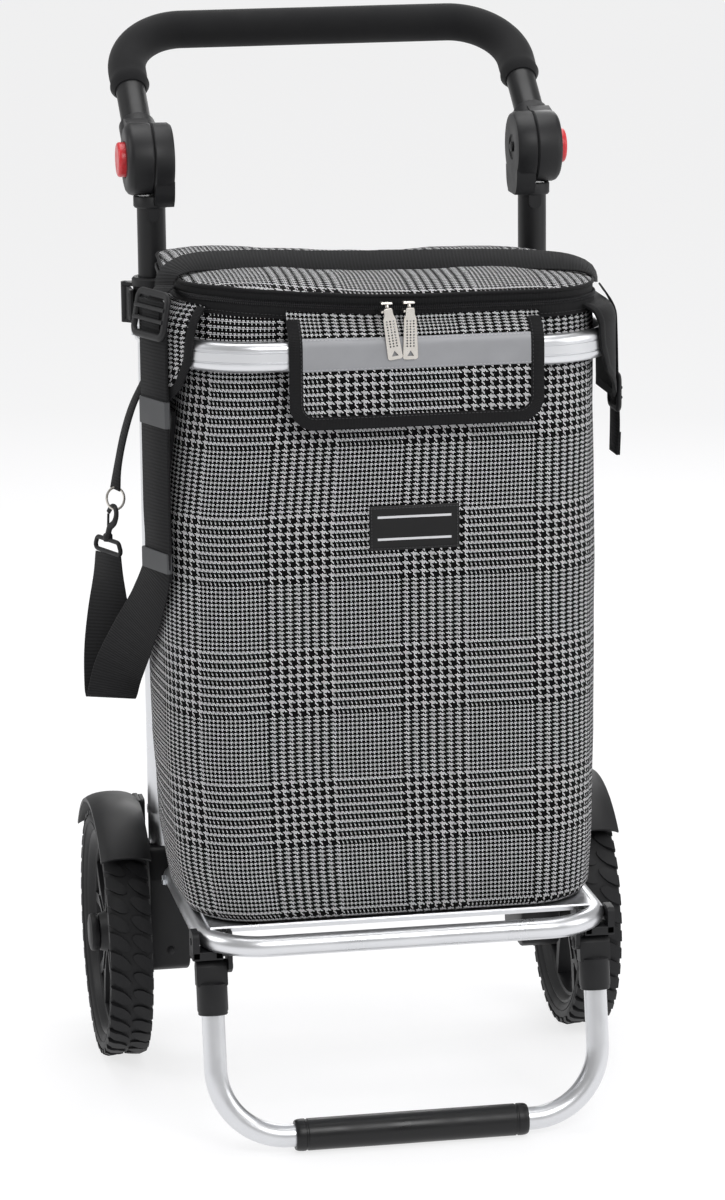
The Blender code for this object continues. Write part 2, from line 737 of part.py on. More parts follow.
def make_platform():
    body = empty("platform", (0, FOLD_Y, PLATFORM_Z), trolley)
    tail = FOLD_Y + PLATFORM_TAIL
    corners = [
        (-UPRIGHT_X, tail, PLATFORM_Z), (-UPRIGHT_X, PLATFORM_FRONT, PLATFORM_Z),
        (UPRIGHT_X, PLATFORM_FRONT, PLATFORM_Z), (UPRIGHT_X, tail, PLATFORM_Z),
    ]
    hoop = bent_tube("platform_hoop", rounded_path(corners, [0, PLATFORM_BEND, PLATFORM_BEND, 0]),
                     PLATFORM_R)
    for _, sign in SIDES:
        bore = rod("bore", BOLT_R + TOUCH, -0.03, 0.03, "X", (sign * UPRIGHT_X, FOLD_Y, PLATFORM_Z), 12)
        hoop = cut(hoop, bore)
    hang(hoop, body, "aluminium")
    plate_low = PLATFORM_Z + PLATFORM_R + TOUCH
    half = UPRIGHT_X - 0.004
    plate = box("support_plate", (-half, half), (PLATE_FRONT, PLATE_BACK),
                (plate_low, plate_low + PLATE_THICK))
    hang(plate, body, "aluminium")
    pivot_z = PLATFORM_Z - STAND_DROP
    for side, sign in SIDES:
        clamp_low = pivot_z + EYE_R + 0.0012
        inner = UPRIGHT_X - PLATFORM_R - STAND_CLAMP_WALL
        outer = UPRIGHT_X + PLATFORM_R + STAND_CLAMP_WALL
        ys = (STAND_Y - STAND_CLAMP_HALF, STAND_Y + STAND_CLAMP_HALF)
        piece = box(f"stand_clamp_{side}", (sign * inner, sign * outer), ys,
                    (clamp_low, PLATFORM_Z + PLATFORM_R - TOUCH))
        lug_outer = STAND_X - SOCKET_R - 2 * TOUCH
        lug_inner = lug_outer - 0.004
        lug = box("lug", (sign * lug_inner, sign * lug_outer), ys,
                  (pivot_z - EYE_R, PLATFORM_Z + PLATFORM_R - TOUCH))
        piece = join(piece, lug)
        bridge = box("bridge", (sign * lug_inner, sign * (inner + 0.002)), ys,
                     (clamp_low, PLATFORM_Z - 0.002))
        piece = join(piece, bridge)
        shape = rounded_path(corners, [0, PLATFORM_BEND, PLATFORM_BEND, 0])
        piece = cut(piece, bent_tube("bore", shape, PLATFORM_R + 2 * TOUCH))
        low, high = sorted((sign * (lug_inner + 0.001), sign * (STAND_X + SOCKET_R)))
        pin = rod("pin", BOLT_R, low, high, "X", (0, STAND_Y, pivot_z), 12)
        hang(join(piece, pin), body, "black_plastic")
    return body


def make_stand(platform):
    pivot = Vector((0, STAND_Y, PLATFORM_Z - STAND_DROP))
    foot = Vector((0, STAND_FOOT_Y, SLEEVE_R))
    body = empty("stand", pivot, platform)
    down = (foot - pivot).normalized()
    across = Vector((STAND_X, 0, 0))
    top = pivot + down * (SOCKET_FROM + 0.006)
    corners = [top - across, foot - across, foot + across, top + across]
    tube = bent_tube("stand_tube", rounded_path(corners, [0, STAND_BEND, STAND_BEND, 0], 8), STAND_R)
    hang(tube, body, "aluminium")
    sleeve = turned(
        "stand_sleeve",
        [(STAND_R + TOUCH, SLEEVE_HALF), (SLEEVE_R - 0.003, SLEEVE_HALF), (SLEEVE_R, SLEEVE_HALF - 0.008),
         (SLEEVE_R, 0.008 - SLEEVE_HALF), (SLEEVE_R - 0.003, -SLEEVE_HALF), (STAND_R + TOUCH, -SLEEVE_HALF)],
        "X", foot, True, 24,
    )
    hang(sleeve, body, "rubber")
    lean = down.angle(Vector((0, 0, -1)))
    for side, sign in SIDES:
        place = pivot + sign * across
        piece = rod(f"stand_socket_{side}", SOCKET_R, SOCKET_FROM, SOCKET_TO, down, place)
        neck = box(
            "neck", (STAND_X - SOCKET_R, STAND_X + SOCKET_R), (-EYE_R, EYE_R),
            (-SOCKET_FROM - 0.002, 0),
        )
        if sign < 0:
            neck.data.transform(Matrix.Translation((-2 * STAND_X, 0, 0)))
        neck.data.transform(Matrix.Translation(pivot) @ Matrix.Rotation(-lean, 4, "X"))
        piece = join(piece, neck)
        low, high = sorted((sign * (STAND_X - SOCKET_R), sign * (STAND_X + SOCKET_R)))
        piece = join(piece, rod("eye", EYE_R, low, high, "X", (0, pivot.y, pivot.z), 16))
        bore = rod("bore", STAND_R + TOUCH, SOCKET_FROM + 0.006 - TOUCH, 0.1, down, place)
        piece = cut(piece, bore)
        hole = rod("hole", BOLT_R + RUN, -0.03, 0.03, "X", tuple(place), 12)
        hang(cut(piece, hole), body, "black_plastic")


def make_upper_hoop():
    """A flat-oval bow: a round tube scaled to its real height about its own mid-plane."""
    body = empty("upper_hoop_axis", (0, FOLD_Y, HOOP_Z), trolley)
    tail = FOLD_Y + HOOP_TAIL
    corners = [(-HOOP_X, tail, 0), (-HOOP_X, HOOP_FRONT, 0), (HOOP_X, HOOP_FRONT, 0), (HOOP_X, tail, 0)]
    piece = bent_tube("upper_hoop", rounded_path(corners, [0, HOOP_BEND, HOOP_BEND, 0], 8), HOOP_THICK / 2, 2)
    piece.data.transform(Matrix.Diagonal((1, 1, HOOP_TALL / HOOP_THICK, 1)))
    piece.data.transform(Matrix.Translation((0, 0, HOOP_Z)))
    for _, sign in SIDES:
        hole = rod("hole", BOLT_R + TOUCH, -0.02, 0.02, "X", (sign * HOOP_X, FOLD_Y, HOOP_Z), 12)
        piece = cut(piece, hole)
    hang(piece, body, "aluminium")


# ---------------------------------------------------------------- bag

def outline(mid, rear, front_y, back_y, front_bend, rear_bend):
    """Half of the bag's plan is rear corner, widest point and front corner; the other half mirrors it."""
    front = mid - 0.008
    half = [(rear, back_y), (mid, BAG_MID_Y), (front, front_y)]
    corners = [(x, y, 0) for x, y in half] + [(-x, y, 0) for x, y in reversed(half)]
    bends = [rear_bend, 0.25, front_bend, front_bend, 0.25, rear_bend]
    return rounded_path(corners, bends, 4, closed=True)


def bag_rings(levels):
    """Rings of the plan at each (height, widest half-width, rear half-width, inset of front and back)."""
    rings = []
    for z, mid, rear, inset in levels:
        ring = outline(
            mid, rear, BAG_FRONT + inset, BAG_BACK - inset,
            BAG_FRONT_BEND - inset / 2, BAG_REAR_BEND - inset / 2,
        )
        rings.append([(point.x, point.y, z) for point in ring])
    return rings


def make_bag():
    body = empty("bag", (0, BAG_BACK, BAG_LOW), trolley)
    hoop_inner = HOOP_X - HOOP_THICK / 2
    lug_inner = hoop_inner - 2 * TOUCH - LUG_THICK * 0.8
    rear = lug_inner - LUG_TO_BAG
    mid = hoop_inner - 0.0015
    levels = [
        (BAG_LOW, mid - BASE_INSET, rear - BASE_INSET, BASE_INSET), (BAG_LOW + 0.012, mid, rear, 0.001),
        (BAG_LOW + 0.16, mid + 0.011, rear + 0.008, 0), (BAG_LOW + 0.38, mid + 0.011, rear + 0.008, 0),
        (HOOP_Z - 0.055, mid + 0.002, rear + 0.001, 0), (HOOP_Z - 0.025, mid, rear, 0),
        (HOOP_Z + 0.025, mid, rear, 0), (BAG_TOP, mid - 0.001, rear, 0.002),
    ]
    bm = bmesh.new()
    shell_of_rings(bm, bag_rings(levels), True, False)
    bmesh.ops.recalc_face_normals(bm, faces=bm.faces)
    piece = mesh_object("bag_shell", bm)
    wall = piece.modifiers.new("wall", "SOLIDIFY")
    wall.thickness = BAG_WALL
    wall.offset = -1
    hang(baked(piece), body, "fabric")
    floor = BAG_LOW + BAG_WALL + 2 * TOUCH
    margin = BASE_INSET + BAG_WALL + BASE_CLEAR
    plan = [(z, mid - margin, rear - margin, margin) for z in (floor, floor + BASE_THICK)]
    bm = bmesh.new()
    shell_of_rings(bm, bag_rings(plan), True, True)
    bmesh.ops.recalc_face_normals(bm, faces=bm.faces)
    hang(mesh_object("bag_base_board", bm), body, "board")

    slot_y = HOOP_FRONT - HOOP_THICK / 2
    drop = [(BAG_FRONT - 0.0026, BAG_TOP - 0.003), (slot_y - 0.0020, HOOP_Z + HOOP_TALL / 2 + 0.004),
            (slot_y - 0.0024, HOOP_Z), (slot_y - 0.0024, FLAP_LOW)]
    centre = [(FLAP_X, y, z) for y, z in drop]
    normals = [(0, -0.8, 0.6), (0, -0.95, 0.3), (0, -1, 0), (0, -1, 0)]
    flap = swept_band("front_flap", centre, (1, 0, 0), 2 * FLAP_HALF, FLAP_THICK, normals)
    hang(flap, body, "fabric")

    for side, sign in SIDES:
        make_ear(side, sign, body)

    make_straps(body)
    make_lid(body, mid, rear)
    make_zip_pulls(body)


def make_ear(side, sign, bag):
    """A fabric ear hangs from the bag's rim over the hoop's front corner, round its outside."""
    corner_x, corner_y = HOOP_X - HOOP_BEND, HOOP_FRONT + HOOP_BEND
    stations = [((HOOP_X, EAR_BACK), (1, 0)), ((HOOP_X, corner_y), (1, 0))]
    for step in range(1, EAR_STEPS + 1):
        turn = math.radians(EAR_TURN * step / EAR_STEPS)
        out = (math.cos(turn), -math.sin(turn))
        stations.append(((corner_x + HOOP_BEND * out[0], corner_y + HOOP_BEND * out[1]), out))
    half = FLAP_THICK / 2
    over, under = HOOP_THICK / 2 + EAR_GAP, EAR_TUCK - HOOP_THICK / 2
    fold = HOOP_Z + HOOP_TALL / 2 + 0.003
    profile = [
        (under - half * 0.6, BAG_TOP - 0.004 - half * 0.8), (over - half, fold - half * 0.5), (over - half, EAR_LOW),
        (over + half, EAR_LOW), (over + half, fold + half * 0.5), (under + half * 0.6, BAG_TOP - 0.004 + half * 0.8),
    ]
    rings = []
    for (x, y), (out_x, out_y) in stations:
        rings.append([(sign * (x + out_x * reach), y + out_y * reach, z) for reach, z in profile])
    bm = bmesh.new()
    shell_of_rings(bm, rings, True, True)
    bmesh.ops.recalc_face_normals(bm, faces=bm.faces)
    hang(mesh_object(f"side_ear_{side}", bm), bag, "webbing")


def make_straps(body):
    """The shoulder strap hangs doubled at the left; a short side strap hangs at the right."""
    turn = math.radians(STRAP_TURN)
    facing = Vector((-math.cos(turn), -math.sin(turn), 0))
    across = Vector((math.sin(turn), -math.cos(turn), 0))
    reach = HOOP_BEND + HOOP_THICK / 2 + EAR_GAP + FLAP_THICK / 2 + STRAP_CLEAR + STRAP_THICK / 2
    corner = Vector((HOOP_BEND - HOOP_X, HOOP_FRONT + HOOP_BEND, 0))
    place = corner + facing * reach - across * STRAP_BACK
    drift = Vector((-0.0260, 0.1100, 0))
    route = [place + drift * share + Vector((0, 0, z)) for share, z in
             ((0, 0.775), (0, 0.650), (0, 0.560), (0.25, 0.510), (0.62, 0.460), (1.0, 0.415))]
    normals = [facing] * 3 + [(-0.93, -0.36, 0), (-0.85, -0.52, 0), (-0.75, -0.66, 0)]
    strap = swept_band("shoulder_strap", route, across, STRAP_WIDE, STRAP_THICK, normals)
    hang(strap, body, "webbing")
    out = HOOP_X + HOOP_THICK / 2 + 0.0056
    place = (SIDE_STRAP_Y, WEB_WIDE)
    route = [(out, place[0], 0.772), (out, place[0], 0.640)]
    strap = swept_band("side_strap_right", route, (0, 1, 0), place[1], WEB_THICK * 1.5, [(1, 0, 0)] * 2)
    hang(strap, body, "webbing")


def make_lid(bag, mid, rear):
    body = empty("lid_axis", (0, BAG_BACK, LID_LOW), bag)
    top = LID_LOW + LID_EDGE
    levels = [
        (LID_LOW, mid - 0.001, rear, 0.002), (top, mid - 0.001, rear, 0.002),
        (top + LID_CROWN * 0.6, mid - 0.040, rear - 0.040, 0.036),
        (top + LID_CROWN, mid - 0.100, rear - 0.100, 0.085),
    ]
    bm = bmesh.new()
    shell_of_rings(bm, bag_rings(levels), True, True)
    bmesh.ops.recalc_face_normals(bm, faces=bm.faces)
    hang(mesh_object("lid", bm), body, "fabric")
    reach = mid - 0.040
    peak = top + LID_CROWN * 0.6 + 0.0055
    centre = [(-reach, CARRY_Y, peak), (-reach / 2, CARRY_Y, peak + 0.005), (0, CARRY_Y, peak + 0.0065),
              (reach / 2, CARRY_Y, peak + 0.005), (reach, CARRY_Y, peak)]
    web = swept_band("carry_webbing", centre, (0, 1, 0), WEB_WIDE, WEB_THICK, [(0, 0, 1)] * 5)
    hang(web, body, "webbing")


def make_zip_pulls(bag):
    flap_face = HOOP_FRONT - HOOP_THICK / 2 - 0.0024 - FLAP_THICK / 2
    for side, sign in SIDES:
        x = SLIDER_X + sign * SLIDER_STEP
        body = empty(f"zip_slider_{side}_track", (x, flap_face, ZIP_Z), bag)
        slider = box(
            f"zip_slider_{side}", (x - SLIDER_HALF, x + SLIDER_HALF), (flap_face - 0.0002, BAG_FRONT - 0.0015),
            (ZIP_Z - 0.0015, ZIP_Z + 0.0045), bevel=0.0008,
        )
        hang(slider, body, "nickel")
        hinge = (x, flap_face - 0.0020, ZIP_Z)
        pull_body = empty(f"zip_pull_{side}_hinge", hinge, body)
        pull = box(
            f"zip_pull_{side}", (x - PULL_HALF, x + PULL_HALF),
            (hinge[1] - PULL_THICK / 2, hinge[1] + PULL_THICK / 2), (ZIP_Z - PULL_LONG, ZIP_Z + 0.0012),
            bevel=0.0004,
        )
        hang(pull, pull_body, "nickel")


make_uprights()
make_axle()
make_brackets()
make_fenders()
make_collars()
make_levers()
make_wheels()
make_handle(make_legs())
make_stand(make_platform())
make_upper_hoop()
make_bag()
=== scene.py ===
"""A folding shopping trolley: aluminium frame, rubber-tyred wheels, a pivoting foam handle and a
zipped, insulated bag in black and white check. Metres, +Z up, the bag's front towards -Y."""

import json
import math

import bmesh
import bpy
import numpy as np
from mathutils import Matrix, Vector, noise

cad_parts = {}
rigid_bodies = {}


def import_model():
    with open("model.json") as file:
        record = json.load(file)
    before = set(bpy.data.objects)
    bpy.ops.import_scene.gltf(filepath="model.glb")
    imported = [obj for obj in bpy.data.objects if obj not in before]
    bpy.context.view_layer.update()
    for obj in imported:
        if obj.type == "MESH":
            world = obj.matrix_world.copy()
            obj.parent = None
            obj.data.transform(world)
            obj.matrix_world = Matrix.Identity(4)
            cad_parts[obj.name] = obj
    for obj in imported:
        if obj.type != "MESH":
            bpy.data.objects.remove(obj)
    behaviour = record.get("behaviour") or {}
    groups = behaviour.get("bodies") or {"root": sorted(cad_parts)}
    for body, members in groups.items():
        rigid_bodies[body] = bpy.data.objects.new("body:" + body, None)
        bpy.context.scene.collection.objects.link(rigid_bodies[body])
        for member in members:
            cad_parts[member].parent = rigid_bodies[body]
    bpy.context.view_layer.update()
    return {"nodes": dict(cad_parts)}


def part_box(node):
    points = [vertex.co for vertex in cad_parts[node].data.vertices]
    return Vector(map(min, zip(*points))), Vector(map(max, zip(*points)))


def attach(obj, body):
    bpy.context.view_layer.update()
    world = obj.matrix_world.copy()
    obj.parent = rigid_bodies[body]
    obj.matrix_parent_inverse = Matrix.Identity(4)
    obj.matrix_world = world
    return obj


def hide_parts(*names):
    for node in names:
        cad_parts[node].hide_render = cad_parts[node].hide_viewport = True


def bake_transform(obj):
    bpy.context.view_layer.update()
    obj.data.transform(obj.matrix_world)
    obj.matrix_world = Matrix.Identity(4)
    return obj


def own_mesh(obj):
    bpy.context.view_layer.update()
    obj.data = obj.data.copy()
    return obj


for startup in list(bpy.data.objects):
    bpy.data.objects.remove(startup)
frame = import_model()
nodes = frame["nodes"]
SIDES = (("left", -1), ("right", 1))
PLANE = sum(corner.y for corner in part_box("upright_left")) / 2  # Y of the uprights; sizes below are from it


# ---- uprights and cross tube ------------------------------------------------------------------
# Two round aluminium tubes, drawn and satin anodised, stand in the wheel brackets and guide the
# telescopic legs. A thinner tube is pressed between them behind the bag.

UPRIGHT_X, UPRIGHT_R = 0.190, 0.016


def linear(colour):
    """An sRGB hex colour as linear red, green, blue and alpha."""
    parts = [int(colour[i:i + 2], 16) / 255 for i in (0, 2, 4)]
    return (*[c / 12.92 if c <= 0.04045 else ((c + 0.055) / 1.055) ** 2.4 for c in parts], 1)


def add(tree, kind, inputs=None, **settings):
    """Adds a node with its settings; an input is given a value, or the socket that feeds it."""
    made = tree.nodes.new(kind)
    for name, value in settings.items():
        setattr(made, name, value)
    for name, value in (inputs or {}).items():
        if isinstance(value, bpy.types.NodeSocket):
            tree.links.new(value, made.inputs[name])
        else:
            made.inputs[name].default_value = value
    return made


def surface(name, slot, colour, roughness, **sockets):
    """A new material with its shader, named for the record's slot that its piece takes."""
    made = bpy.data.materials.new(name)
    made.use_nodes = True
    made["slot"] = slot
    shader = made.node_tree.nodes["Principled BSDF"]
    shader.inputs["Base Color"].default_value = linear(colour)
    shader.inputs["Roughness"].default_value = roughness
    for socket, value in sockets.items():
        shader.inputs[socket.replace("_", " ")].default_value = value
    return made, made.node_tree, shader


def grain(tree, shader, grain_mm, height_mm, rough_low, rough_high, smudge_mm=45):
    """Relief of a grain size and height, and a slow drift between two roughnesses from handling."""
    place = add(tree, "ShaderNodeTexCoord").outputs["Object"]
    fine = add(tree, "ShaderNodeTexNoise", {"Vector": place, "Scale": 1000 / grain_mm, "Detail": 2.0})
    relief = add(tree, "ShaderNodeBump", {"Height": fine.outputs["Fac"], "Distance": height_mm / 1000,
                                         "Strength": 1.0})
    tree.links.new(relief.outputs["Normal"], shader.inputs["Normal"])
    slow = add(tree, "ShaderNodeTexNoise", {"Vector": place, "Scale": 1000 / smudge_mm, "Detail": 3.0})
    drift = add(tree, "ShaderNodeMapRange", {"Value": slow.outputs["Fac"], "From Min": 0.3, "From Max": 0.7,
                                            "To Min": rough_low, "To Max": rough_high})
    tree.links.new(drift.outputs["Result"], shader.inputs["Roughness"])
    return slow


def tinted(tree, shader, slow, dark, light):
    """Lets the base colour drift between two near shades."""
    mix = add(tree, "ShaderNodeMix", {"Factor": slow.outputs["Fac"], 6: linear(dark), 7: linear(light)},
              data_type="RGBA")
    tree.links.new(mix.outputs[2], shader.inputs["Base Color"])


def coated(name, slot, colour, roughness, relief, shades, **sockets):
    """A material with grain of the given relief, drifting between two near shades."""
    made, tree, shader = surface(name, slot, colour, roughness, **sockets)
    tinted(tree, shader, grain(tree, shader, *relief), *shades)
    return made


# Satin anodised aluminium: etched before anodising, so it is pale, even and softly reflective.
anodised = coated("satin_anodised_aluminium", "silver_tube", "dcdde0", 0.3,
                  (1.2, 0.004, 0.27, 0.38), ("d2d3d6", "e2e3e5"), Metallic=1.0)


def finished(name, bm, finish, body, *replaced, smooth=35, more=()):
    """The mesh as a piece in the object's own place, smooth but for its sharp edges, on a body."""
    data = bpy.data.meshes.new(name)
    bm.to_mesh(data)
    bm.free()
    data.transform(Matrix.Translation((0, PLANE, 0)))
    for material in (finish, *more):
        data.materials.append(material)
    data.shade_smooth()
    data.set_sharp_from_angle(angle=math.radians(smooth))
    piece = bpy.data.objects.new(name, data)
    bpy.context.scene.collection.objects.link(piece)
    if body:
        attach(piece, body)
    if replaced:
        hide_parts(*replaced)
    return piece


def turned(bm, profile, centre, axis=(1, 0, 0), sides=48):
    """Turns (radius, along) points about an axis; a profile that starts and ends at one point is a ring."""
    axis = Vector(axis).normalized()
    side = axis.orthogonal().normalized()
    lift = axis.cross(side)
    centre = Vector(centre)
    ring_shape = profile[0] == profile[-1]
    rows = []
    for radius, along in profile[:-1] if ring_shape else profile:
        middle = centre + axis * along
        if radius < 1e-9:
            rows.append([bm.verts.new(middle)])
            continue
        turns = [math.tau * i / sides for i in range(sides)]
        rows.append([bm.verts.new(middle + (side * math.cos(t) + lift * math.sin(t)) * radius) for t in turns])
    faces = []
    for first, second in zip(rows, rows[1:] + (rows[:1] if ring_shape else [])):
        for i in range(sides):
            k = (i + 1) % sides
            if len(first) == 1:
                faces.append(bm.faces.new((first[0], second[k], second[i])))
            elif len(second) == 1:
                faces.append(bm.faces.new((first[i], first[k], second[0])))
            else:
                faces.append(bm.faces.new((first[i], first[k], second[k], second[i])))
    bmesh.ops.recalc_face_normals(bm, faces=faces)
    return faces


def outboard(points, sign):
    """A profile of (radius, distance outwards from the middle), for the left or the right side."""
    return [(r, sign * a) for r, a in points]


for side, sign in SIDES:
    low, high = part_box(f"upright_{side}")
    bm = bmesh.new()
    edge = UPRIGHT_R - 0.001
    turned(bm, [(0, low.z), (edge, low.z), (UPRIGHT_R, low.z + 0.001), (UPRIGHT_R, high.z - 0.001),
                (edge, high.z), (0, high.z)], (sign * UPRIGHT_X, 0, 0), (0, 0, 1), 64)
    finished(f"upright_tube_{side}", bm, anodised, "frame", f"upright_{side}")
low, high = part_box("cross_tube")
bm = bmesh.new()
turned(bm, [(0, low.x), (0.009, low.x), (0.009, high.x), (0, high.x)], (0, 0, (low.z + high.z) / 2), sides=40)
finished("rear_cross_tube", bm, anodised, "frame", "cross_tube")


# ---- telescopic legs and rear brace -------------------------------------------------------------
# Steel tubes with a black powder coat. The legs slide in the uprights; each has a row of small
# dimples for the height catch. The brace is a plain bar between the wheel brackets.

# Powder coat: baked polyester powder, semi-matt, with a faint orange-peel that softens highlights.
powder_coat = coated("black_powder_coat", "black_tube", "0c0c0e", 0.4,
                     (1.6, 0.012, 0.33, 0.46), ("09090a", "121214"), Specular_IOR_Level=0.35)
LEG_R = 0.014

for side, sign in SIDES:
    low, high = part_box(f"leg_{side}")
    x = sign * UPRIGHT_X
    bm = bmesh.new()
    turned(bm, [(0, low.z), (LEG_R - 0.001, low.z), (LEG_R, low.z + 0.001), (LEG_R, high.z), (0, high.z)],
           (x, 0, 0), (0, 0, 1), 56)
    for step in range(3):
        height = high.z - 0.022 - 0.019 * step
        turned(bm, [(0.0026, LEG_R - 0.0004), (0.0026, LEG_R + 0.0003), (0.0016, LEG_R + 0.0002),
                    (0, LEG_R - 0.0001)], (x, 0, height), (0, 1, 0), 20)
    finished(f"sliding_leg_{side}", bm, powder_coat, "telescope", f"leg_{side}")
low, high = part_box("brace_bar")
bm = bmesh.new()
turned(bm, [(0, low.x), (0.006, low.x), (0.006, high.x), (0, high.x)],
       (0, (low.y + high.y) / 2 - PLANE, (low.z + high.z) / 2), sides=32)
finished("rear_brace", bm, powder_coat, "frame", "brace_bar")


# ---- folding platform hoop, stand and upper hoop -------------------------------------------------
# Three bows bent from anodised aluminium: a round one under the bag, a round one that the trolley
# stands on, and a flat-oval one, drawn with two shallow grooves, that holds the bag's mouth open.

FOLD_Y = -0.077
PLATFORM_Z, PLATFORM_R, PLATFORM_FRONT, PLATFORM_BEND = 0.205, 0.010, -0.316, 0.055
STAND_X, STAND_R, STAND_BEND, STAND_TOP = 0.186, 0.011, 0.068, 0.0205
STAND_PIVOT, STAND_FOOT = Vector((0, -0.283, 0.1785)), Vector((0, -0.316, 0.0155))
STAND_DOWN = (STAND_FOOT - STAND_PIVOT).normalized()
HOOP_X, HOOP_Z, HOOP_FRONT, HOOP_BEND = 0.2105, 0.757, -0.2985, 0.085
HOOP_TALL, HOOP_THICK = 0.028, 0.015


def rounded(corners, bends, step=0.003, closed=False):
    """The corners joined by straight runs, with each bend an arc of its own radius."""
    corners = [Vector(corner) for corner in corners]
    count = len(corners)
    points = []
    for i, corner in enumerate(corners):
        if (not closed and i in (0, count - 1)) or not bends[i]:
            points.append(corner)
            continue
        back = (corners[i - 1] - corner).normalized()
        ahead = (corners[(i + 1) % count] - corner).normalized()
        half = back.angle(ahead) / 2
        middle = corner + (back + ahead).normalized() * bends[i] / math.sin(half)
        start = corner + back * bends[i] / math.tan(half) - middle
        end = corner + ahead * bends[i] / math.tan(half) - middle
        steps = max(3, int((math.pi - 2 * half) * bends[i] / step))
        points += [middle + start.normalized().slerp(end.normalized(), k / steps) * bends[i]
                   for k in range(steps + 1)]
    return points


def round_outline(radius, sides=40):
    """A circle as (across, up) points."""
    return [(radius * math.cos(math.tau * i / sides), radius * math.sin(math.tau * i / sides))
            for i in range(sides)]


def sweep(bm, path, outline, up=None, closed=False, scales=None, caps=True, uv_start=(0.0, 0.0)):
    """Carries a closed outline of (across, up) points along a path, with UVs in metres. Without an
    up direction it turns as little as it can."""
    path = [Vector(point) for point in path]
    count, around = len(path), len(outline)
    uv = bm.loops.layers.uv.get("cloth") or bm.loops.layers.uv.new("cloth")
    lengths = [0.0]
    for first, second in zip(path, path[1:]):
        lengths.append(lengths[-1] + (second - first).length)
    rims = [0.0]
    for i in range(around):
        rims.append(rims[-1] + math.dist(outline[i], outline[(i + 1) % around]))
    rings, lift = [], None
    for i, point in enumerate(path):
        before = path[i - 1] if i or closed else point
        after = path[(i + 1) % count] if i < count - 1 or closed else point
        ahead = (after - before).normalized()
        if up is not None:
            lift = Vector(up[i] if isinstance(up, list) else up)
        elif lift is None:
            lift = ahead.orthogonal()
        lift = (lift - ahead * lift.dot(ahead)).normalized()
        across = ahead.cross(lift)
        scale = scales[i] if scales else 1.0
        rings.append([bm.verts.new(point + across * u * scale + lift * v * scale) for u, v in outline])
    faces = []
    for i in range(count if closed else count - 1):
        k = (i + 1) % count
        for j in range(around):
            m = (j + 1) % around
            face = bm.faces.new((rings[i][j], rings[i][m], rings[k][m], rings[k][j]))
            end = lengths[i + 1] if i + 1 < count else lengths[i] + (path[k] - path[i]).length
            spots = ((rims[j], lengths[i]), (rims[j + 1], lengths[i]), (rims[j + 1], end), (rims[j], end))
            for loop, (u, v) in zip(face.loops, spots):
                loop[uv].uv = (u + uv_start[0], v + uv_start[1])
            faces.append(face)
    if caps and not closed:
        faces += [bm.faces.new(rings[0][::-1]), bm.faces.new(rings[-1])]
    bmesh.ops.recalc_face_normals(bm, faces=faces)
    return faces


def plate(bm, sign, inner, outer, outline, y=0.0):
    """A side view's outline of (y, z) points, thickened from one distance outwards to another."""
    sweep(bm, [(sign * inner, y, 0), (sign * outer, y, 0)], [(-p[0] * sign, p[1]) for p in outline], up=(0, 0, 1))


tail = FOLD_Y + 0.015
corners = [(-UPRIGHT_X, tail, PLATFORM_Z), (-UPRIGHT_X, PLATFORM_FRONT, PLATFORM_Z),
           (UPRIGHT_X, PLATFORM_FRONT, PLATFORM_Z), (UPRIGHT_X, tail, PLATFORM_Z)]
platform_path = rounded(corners, [0, PLATFORM_BEND, PLATFORM_BEND, 0])
bm = bmesh.new()
sweep(bm, platform_path, round_outline(PLATFORM_R, 48))
finished("platform_bow", bm, anodised, "platform", "platform_hoop")

across = Vector((STAND_X, 0, 0))
top = STAND_PIVOT + STAND_DOWN * STAND_TOP
bm = bmesh.new()
sweep(bm, rounded([top - across, STAND_FOOT - across, STAND_FOOT + across, top + across],
                  [0, STAND_BEND, STAND_BEND, 0]), round_outline(STAND_R, 48))
finished("stand_bow", bm, anodised, "stand", "stand_tube")

tail = FOLD_Y + 0.012
half_thick, half_tall, groove = HOOP_THICK / 2, HOOP_TALL / 2, 0.0007
hoop_outline = []
for quarter, (sign_x, sign_z) in enumerate(((1, 1), (-1, 1), (-1, -1), (1, -1))):
    arc = [(half_thick * math.cos(a), half_tall - half_thick + half_thick * math.sin(a))
           for a in (math.radians(d) for d in range(0, 91, 9))]
    arc = [(half_thick, 0.0)] + [(half_thick, half_tall * s) for s in (0.18, 0.28)] + [
        (half_thick - groove, half_tall * 0.32), (half_thick - groove, half_tall * 0.38),
        (half_thick, half_tall * 0.42)] + arc
    arc = [(sign_x * x, sign_z * z) for x, z in arc]
    hoop_outline += arc[1:] if quarter % 2 == 0 else arc[::-1][1:]
bm = bmesh.new()
hoop_path = rounded([(-HOOP_X, tail, HOOP_Z), (-HOOP_X, HOOP_FRONT, HOOP_Z), (HOOP_X, HOOP_FRONT, HOOP_Z),
                     (HOOP_X, tail, HOOP_Z)], [0, HOOP_BEND, HOOP_BEND, 0])
for point in hoop_path:  # sprung by use: it rises to its front, more at the left
    point.z += (0.0052 - 0.0028 * point.x / HOOP_X) * min(1.0, max(0.0, (FOLD_Y - point.y) / 0.16))
sweep(bm, hoop_path, hoop_outline, up=(0, 0, 1))
finished("upper_bow", bm, anodised, "upper_hoop", "upper_hoop")


# ---- support plate ------------------------------------------------------------------------------
# A thin aluminium sheet riveted on the platform bow; the bag's floor rests on it. Its front edge is
# turned down a little, which stiffens it and shows as a bright line under the bag.

